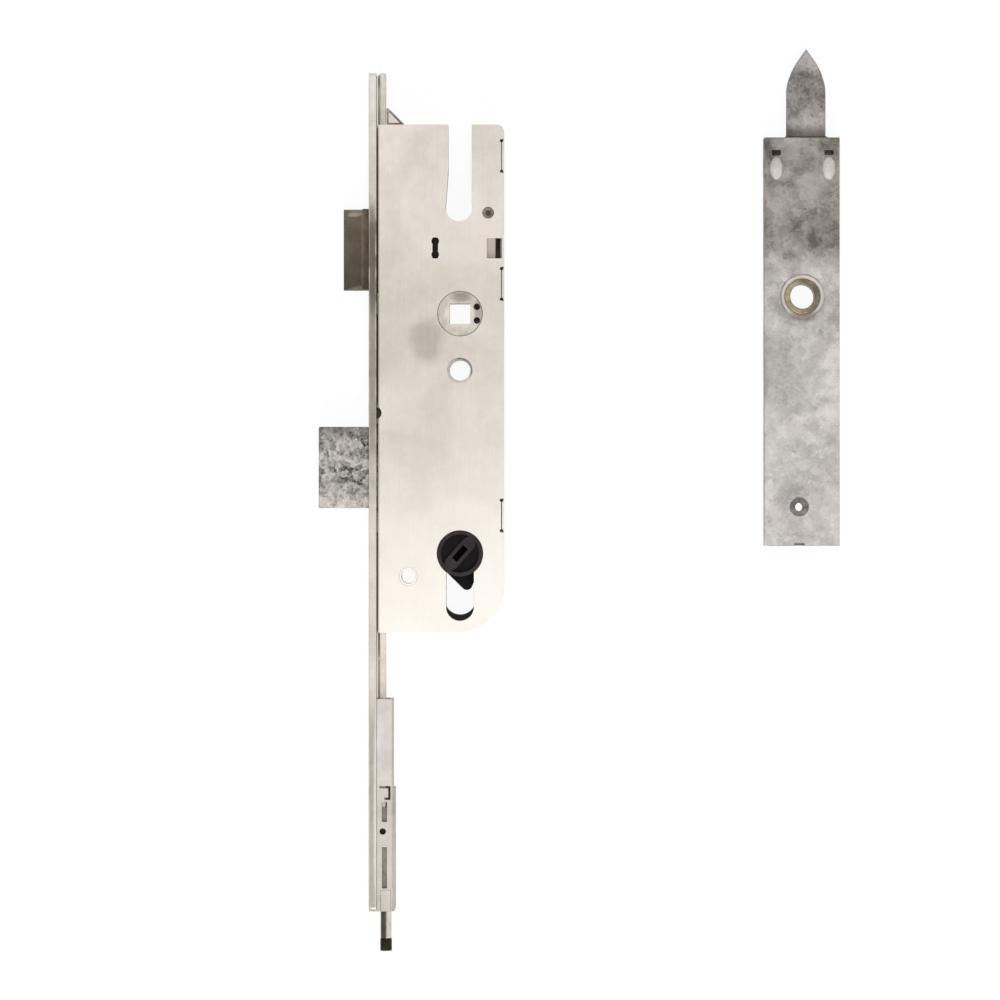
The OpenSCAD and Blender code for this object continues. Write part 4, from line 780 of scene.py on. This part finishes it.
def rolled_eyelet(node, name, finish, funnel, rim):
    """An eyelet whose bore opens in a funnel and whose ring has a round outer edge."""
    low, high = reach(node)
    centre = (low + high) / 2
    ring = (high.x - low.x) / 2
    piece = cad_copy(node, name)

    def radius(x, y):
        return math.hypot(x - centre.x, y - centre.y)

    round_edges(piece, lambda x, y, z: near(z, high.z) and radius(x, y) < ring * BORE_SHARE, funnel)
    round_edges(piece, lambda x, y, z: near(z, high.z) and near(radius(x, y), ring, RING_ROOM), rim)
    dress(soften(piece, width=0.08), node, finish)


rolled_eyelet("pivot_eyelet", "unit-pivot-eyelet", aged_bronze, funnel=0.45, rim=0.45)
rolled_eyelet("lower_eyelet", "unit-screw-eyelet", eyelet_steel, funnel=0.2, rim=0.2)

# %% [markdown]
# ## The pointed tongue
# The tongue is a flat bar cut to a point. Its shoulders swell out in a soft curve, so the upright edges of
# the outline are rounded first, and then the rim of the point gets one plain chamfer.

# %% Tongue with a curved point
low, high = reach("tongue")
TONGUE_W, POINT, MIDWAY_SHARE = 14.9, 14.0, 0.33
SWELL, SWELL_STEPS, CHAMFER, CHAMFER_START = 2.4, 6, 0.9, 2.5
tip = high.y
axis = low.x + TONGUE_W / 2
midway = TONGUE_W * MIDWAY_SHARE
tongue = cad_copy("tongue", "unit-tongue")
round_edges(tongue, lambda x, y, z: near(y, tip - POINT, TOUCH), SWELL, SWELL_STEPS)
round_edges(tongue, lambda x, y, z: near(y, tip - POINT / 2, TOUCH) and near(abs(x - axis), midway, TOUCH),
            SWELL, SWELL_STEPS)
round_edges(tongue, lambda x, y, z: near(z, high.z) and y > tip - POINT + CHAMFER_START, CHAMFER, segments=1)
dress(soften(tongue, width=0.2), "tongue", tongue_zinc)

# %% [markdown]
# The unit's body has a small notch in its lower edge, whose floor is painted dark as shade. The housing of
# the bottom bolt has its lower corner cut off, so that it slips into the slot in the door.

# %% Unit body and bolt housing
low, high = reach("unit_body")
FOOT_SKIN, FOOT_IN, FOOT_SIDE, FOOT_FLOOR, FOOT_TOP = 0.01, 1.2, 5.0, 2.0, 0.2
body = soften(cad_copy("unit_body", "unit-body"), width=0.35)
mark_deep(body, lambda x, y, z: low.y + FOOT_SKIN < y < low.y + FOOT_IN + TOUCH
          and low.x + FOOT_SIDE < x < high.x - FOOT_SIDE
          and high.z - FOOT_FLOOR - TOUCH < z < high.z - FOOT_TOP)
dress(body, "unit_body", unit_zinc)

low, high = reach("lower_housing")
housing = cad_copy("lower_housing", "bolt-housing")
round_edges(housing, lambda x, y, z: near(y, low.y) and near(x, high.x), width=1.0, segments=2)
dress(soften(housing, width=0.15), "lower_housing", housing_zinc)

# %% [markdown]
# ## Pieces that only need their edges softened
# The other visible pieces already have their full shape in the frame. Each line of the table names the
# piece, its finish and the width of its edge in millimetres: wide on the rail, the rivet and the gusset,
# and narrow where another piece slides close by.

# %% Softened pieces
softened = {
    "faceplate": ("front-rail", rail_steel, 0.5),
    "case_rivet": ("case-rivet", rivet_steel, 0.5),
    "handle_sleeve": ("handle-sleeve", sleeve_steel, 0.2),
    "fixing_tube": ("fixing-tube", sheet_zinc, 0.2),
    "bar_guide": ("bar-gusset", gusset_steel, 0.9),
    # painted shade: the lining is black and stands for the shade on the inner wall of the profile hole
    "profile_liner": ("profile-lining", black_plastic, 0.15),
    "drive_bar_upper": ("upper-drive-bar", bar_steel, 0.3),
    "drive_bar_lower": ("lower-drive-bar", bar_steel, 0.2),
    "tail_guide": ("pale-guide", pale_plastic, 0.2),
    "spring_guide": ("spring-guide", black_plastic, 0.2),
    "cylinder_hub": ("cylinder-hub", hub_plastic, 0.2),
    "end_block": ("housing-end-block", housing_zinc, 0.12),
    "bottom_bolt": ("bottom-bolt-rod", rod_steel, 0.2),
    "bottom_tip": ("bottom-bolt-tip", dark_steel, 0.4),
    "unit_cover": ("unit-cover", unit_zinc, 0.3),
    "tongue_collar": ("tongue-collar", collar_plastic, 0.1),
}
for node, (name, finish, width) in softened.items():
    dress(soften(cad_copy(node, name), width), node, finish)

# %% [markdown]
# ## Wound springs
# A compression spring is one wire wound round an axis. The Screw modifier does just that: a small circle,
# the wire's section, is carried round and along the axis. The ends are closed.

# %% Spring builder
WIRE_SIDES, TURN_STEPS = 12, 28
SEAM = 0.001 * MM


def wound_spring(node, name, axis, wire, turns):
    """A coil that fills a CAD spring's box along an axis (0 for X, 1 for Y)."""
    low, high = reach(node)
    length = high[axis] - low[axis] - wire
    coil_r = (high.z - low.z - wire) / 2
    bpy.ops.object.select_all(action="DESELECT")
    bpy.ops.mesh.primitive_circle_add(vertices=WIRE_SIDES, radius=wire / 2 * MM, fill_type="NOTHING",
                                      rotation=(math.pi / 2, 0, 0))
    piece = bpy.context.object
    piece.name = name
    bpy.ops.object.transform_apply(rotation=True)
    bpy.ops.object.mode_set(mode="EDIT")
    bpy.ops.mesh.select_all(action="SELECT")
    bpy.ops.transform.translate(value=(coil_r * MM, 0, 0))
    bpy.ops.object.mode_set(mode="OBJECT")
    winding = piece.modifiers.new("winding", "SCREW")
    winding.axis = "Z"
    winding.angle = turns * 2 * math.pi
    winding.screw_offset = length * MM
    winding.steps = winding.render_steps = turns * TURN_STEPS
    apply_all(piece)
    bpy.ops.object.mode_set(mode="EDIT")
    bpy.ops.mesh.select_all(action="SELECT")
    bpy.ops.mesh.remove_doubles(threshold=SEAM)
    bpy.ops.mesh.select_all(action="DESELECT")
    bpy.ops.mesh.select_non_manifold()
    bpy.ops.mesh.edge_face_add()
    bpy.ops.mesh.select_all(action="SELECT")
    bpy.ops.mesh.normals_make_consistent(inside=False)
    bpy.ops.object.mode_set(mode="OBJECT")
    start = (low + high) / 2
    start[axis] = low[axis] + wire / 2
    piece.rotation_euler = (0, math.pi / 2, 0) if axis == 0 else (-math.pi / 2, 0, 0)
    piece.location = start * MM
    only(piece)
    bpy.ops.object.transform_apply(location=True, rotation=True)
    bpy.ops.object.shade_smooth_by_angle(angle=SHARP)
    return dress(piece, node, spring_steel)


# %% Latch spring and handle spring
latch_coil = wound_spring("latch_spring", "latch-spring-coil", axis=0, wire=0.8, turns=4)
low, high = reach("latch_spring")
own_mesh(latch_coil)

handle_coil = wound_spring("follower_spring", "handle-spring-coil", axis=1, wire=0.7, turns=7)
low, high = reach("follower_spring")
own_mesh(handle_coil)

# %% [markdown]
# ## The mechanism inside
# What works behind the cover hardly shows, and the screws in the rail's front have their full shape in the
# frame already, so these pieces keep their CAD shape. Each still gets its metal, by the material slot that
# the record gives it, apart from the darker connector of the bottom bolt, which has a finish of its own.

# %% Finishes for the hidden pieces
inside = {
    "rail_steel": rail_steel,
    "bright_steel": bright_steel,
    "spring_steel": spring_steel,
    "dark_steel": dark_steel,
    "unit_cast": unit_zinc,
    "bronze": aged_bronze,
}
own = {"bolt_connector": connector_steel}
for node, source in frame["nodes"].items():
    if source.hide_render:
        continue
    source.data.materials.clear()
    source.data.materials.append(own.get(node, inside[slot_of[node]]))
    print("inside:", node, "in", slot_of[node])

# %% [markdown]
# ## Table, light and camera
# The photograph is a catalogue picture: straight from above, with a long lens, soft light from all round
# and a pure white ground. The table shows itself to the camera and to shiny metal as white with only a
# faint shadow, and to all other light as a plain pale surface.


# %% The white table
def white_to_camera(tree, other, seen):
    """Mix two shaders: what the camera and mirror rays see, and what all other light sees."""
    path = add(tree, "ShaderNodeLightPath")
    first = add(tree, "ShaderNodeMath", operation="MAXIMUM")
    both = add(tree, "ShaderNodeMath", operation="MAXIMUM")
    choice = add(tree, "ShaderNodeMixShader")
    tree.links.new(path.outputs["Is Camera Ray"], first.inputs[0])
    tree.links.new(path.outputs["Is Glossy Ray"], first.inputs[1])
    tree.links.new(first.outputs[0], both.inputs[0])
    tree.links.new(path.outputs["Is Transmission Ray"], both.inputs[1])
    tree.links.new(both.outputs[0], choice.inputs["Fac"])
    tree.links.new(other, choice.inputs[1])
    tree.links.new(seen, choice.inputs[2])
    return choice.outputs[0]


TABLE_SIZE, TABLE_DROP = 12.0, 0.0002
bpy.ops.object.select_all(action="DESELECT")
bpy.ops.mesh.primitive_plane_add(size=TABLE_SIZE, location=(0, 0, -TABLE_DROP))
table = bpy.context.object
table.name = "table"
table_white = bpy.data.materials.new("table white")
table_white.use_nodes = True
tree = table_white.node_tree
tree.nodes.remove(tree.nodes["Principled BSDF"])
pale = add(tree, "ShaderNodeBsdfDiffuse", {"Color": (0.8, 0.8, 0.8, 1.0)})
shade = add(tree, "ShaderNodeBsdfDiffuse", {"Color": (0.12, 0.12, 0.12, 1.0)})
glow = add(tree, "ShaderNodeEmission", {"Strength": 0.92})
lit = add(tree, "ShaderNodeAddShader")
tree.links.new(shade.outputs[0], lit.inputs[0])
tree.links.new(glow.outputs[0], lit.inputs[1])
tree.links.new(white_to_camera(tree, pale.outputs[0], lit.outputs[0]),
               tree.nodes["Material Output"].inputs["Surface"])
table.data.materials.append(table_white)
print("table", TABLE_SIZE, "m wide,", TABLE_DROP / MM, "mm below the lock")

# %% The room's light
world = bpy.data.worlds.new("soft room")
bpy.context.scene.world = world
world.use_nodes = True
tree = world.node_tree
room = tree.nodes["Background"]
room.inputs["Color"].default_value = (1, 1, 1, 1)
room.inputs["Strength"].default_value = 0.42
ground = add(tree, "ShaderNodeBackground", {"Color": (1, 1, 1, 1), "Strength": 1.0})
tree.links.new(white_to_camera(tree, room.outputs[0], ground.outputs[0]),
               tree.nodes["World Output"].inputs["Surface"])


def soft_box(name, place, aim, size, power):
    """A square area light at a place in metres, aimed at a point."""
    bpy.ops.object.select_all(action="DESELECT")
    bpy.ops.object.light_add(type="AREA", location=place)
    lamp = bpy.context.object
    lamp.name = name
    lamp.data.shape = "SQUARE"
    lamp.data.size = size
    lamp.data.energy = power
    lamp.rotation_euler = (Vector(aim) - Vector(place)).to_track_quat("-Z", "Y").to_euler()
    print("light", name, "of", power, "W")
    return lamp


middle = (0.05, -0.07, 0.0)
overhead = soft_box("overhead box", place=(0.05, -0.07, 2.6), aim=middle, size=2.0, power=18)
overhead.visible_glossy = False
soft_box("near box", place=(0.08, -0.95, 0.72), aim=middle, size=0.5, power=5.5)

# %% The camera
LENS, SENSOR = 180.0, 36.0
FRAME_WIDTH = 0.3835
CENTRE = (0.01535, -0.0715)
COVER_Z = 0.0155
bpy.ops.object.select_all(action="DESELECT")
bpy.ops.object.camera_add(location=(*CENTRE, COVER_Z + FRAME_WIDTH * LENS / SENSOR), rotation=(0, 0, 0))
camera = bpy.context.object
camera.name = "catalogue camera"
camera.data.lens = LENS
camera.data.sensor_width = SENSOR
camera.data.clip_end = 50.0
bpy.context.scene.camera = camera
bpy.context.scene.view_settings.view_transform = "Standard"
print("camera", round(camera.location.z, 3), "m above the table")
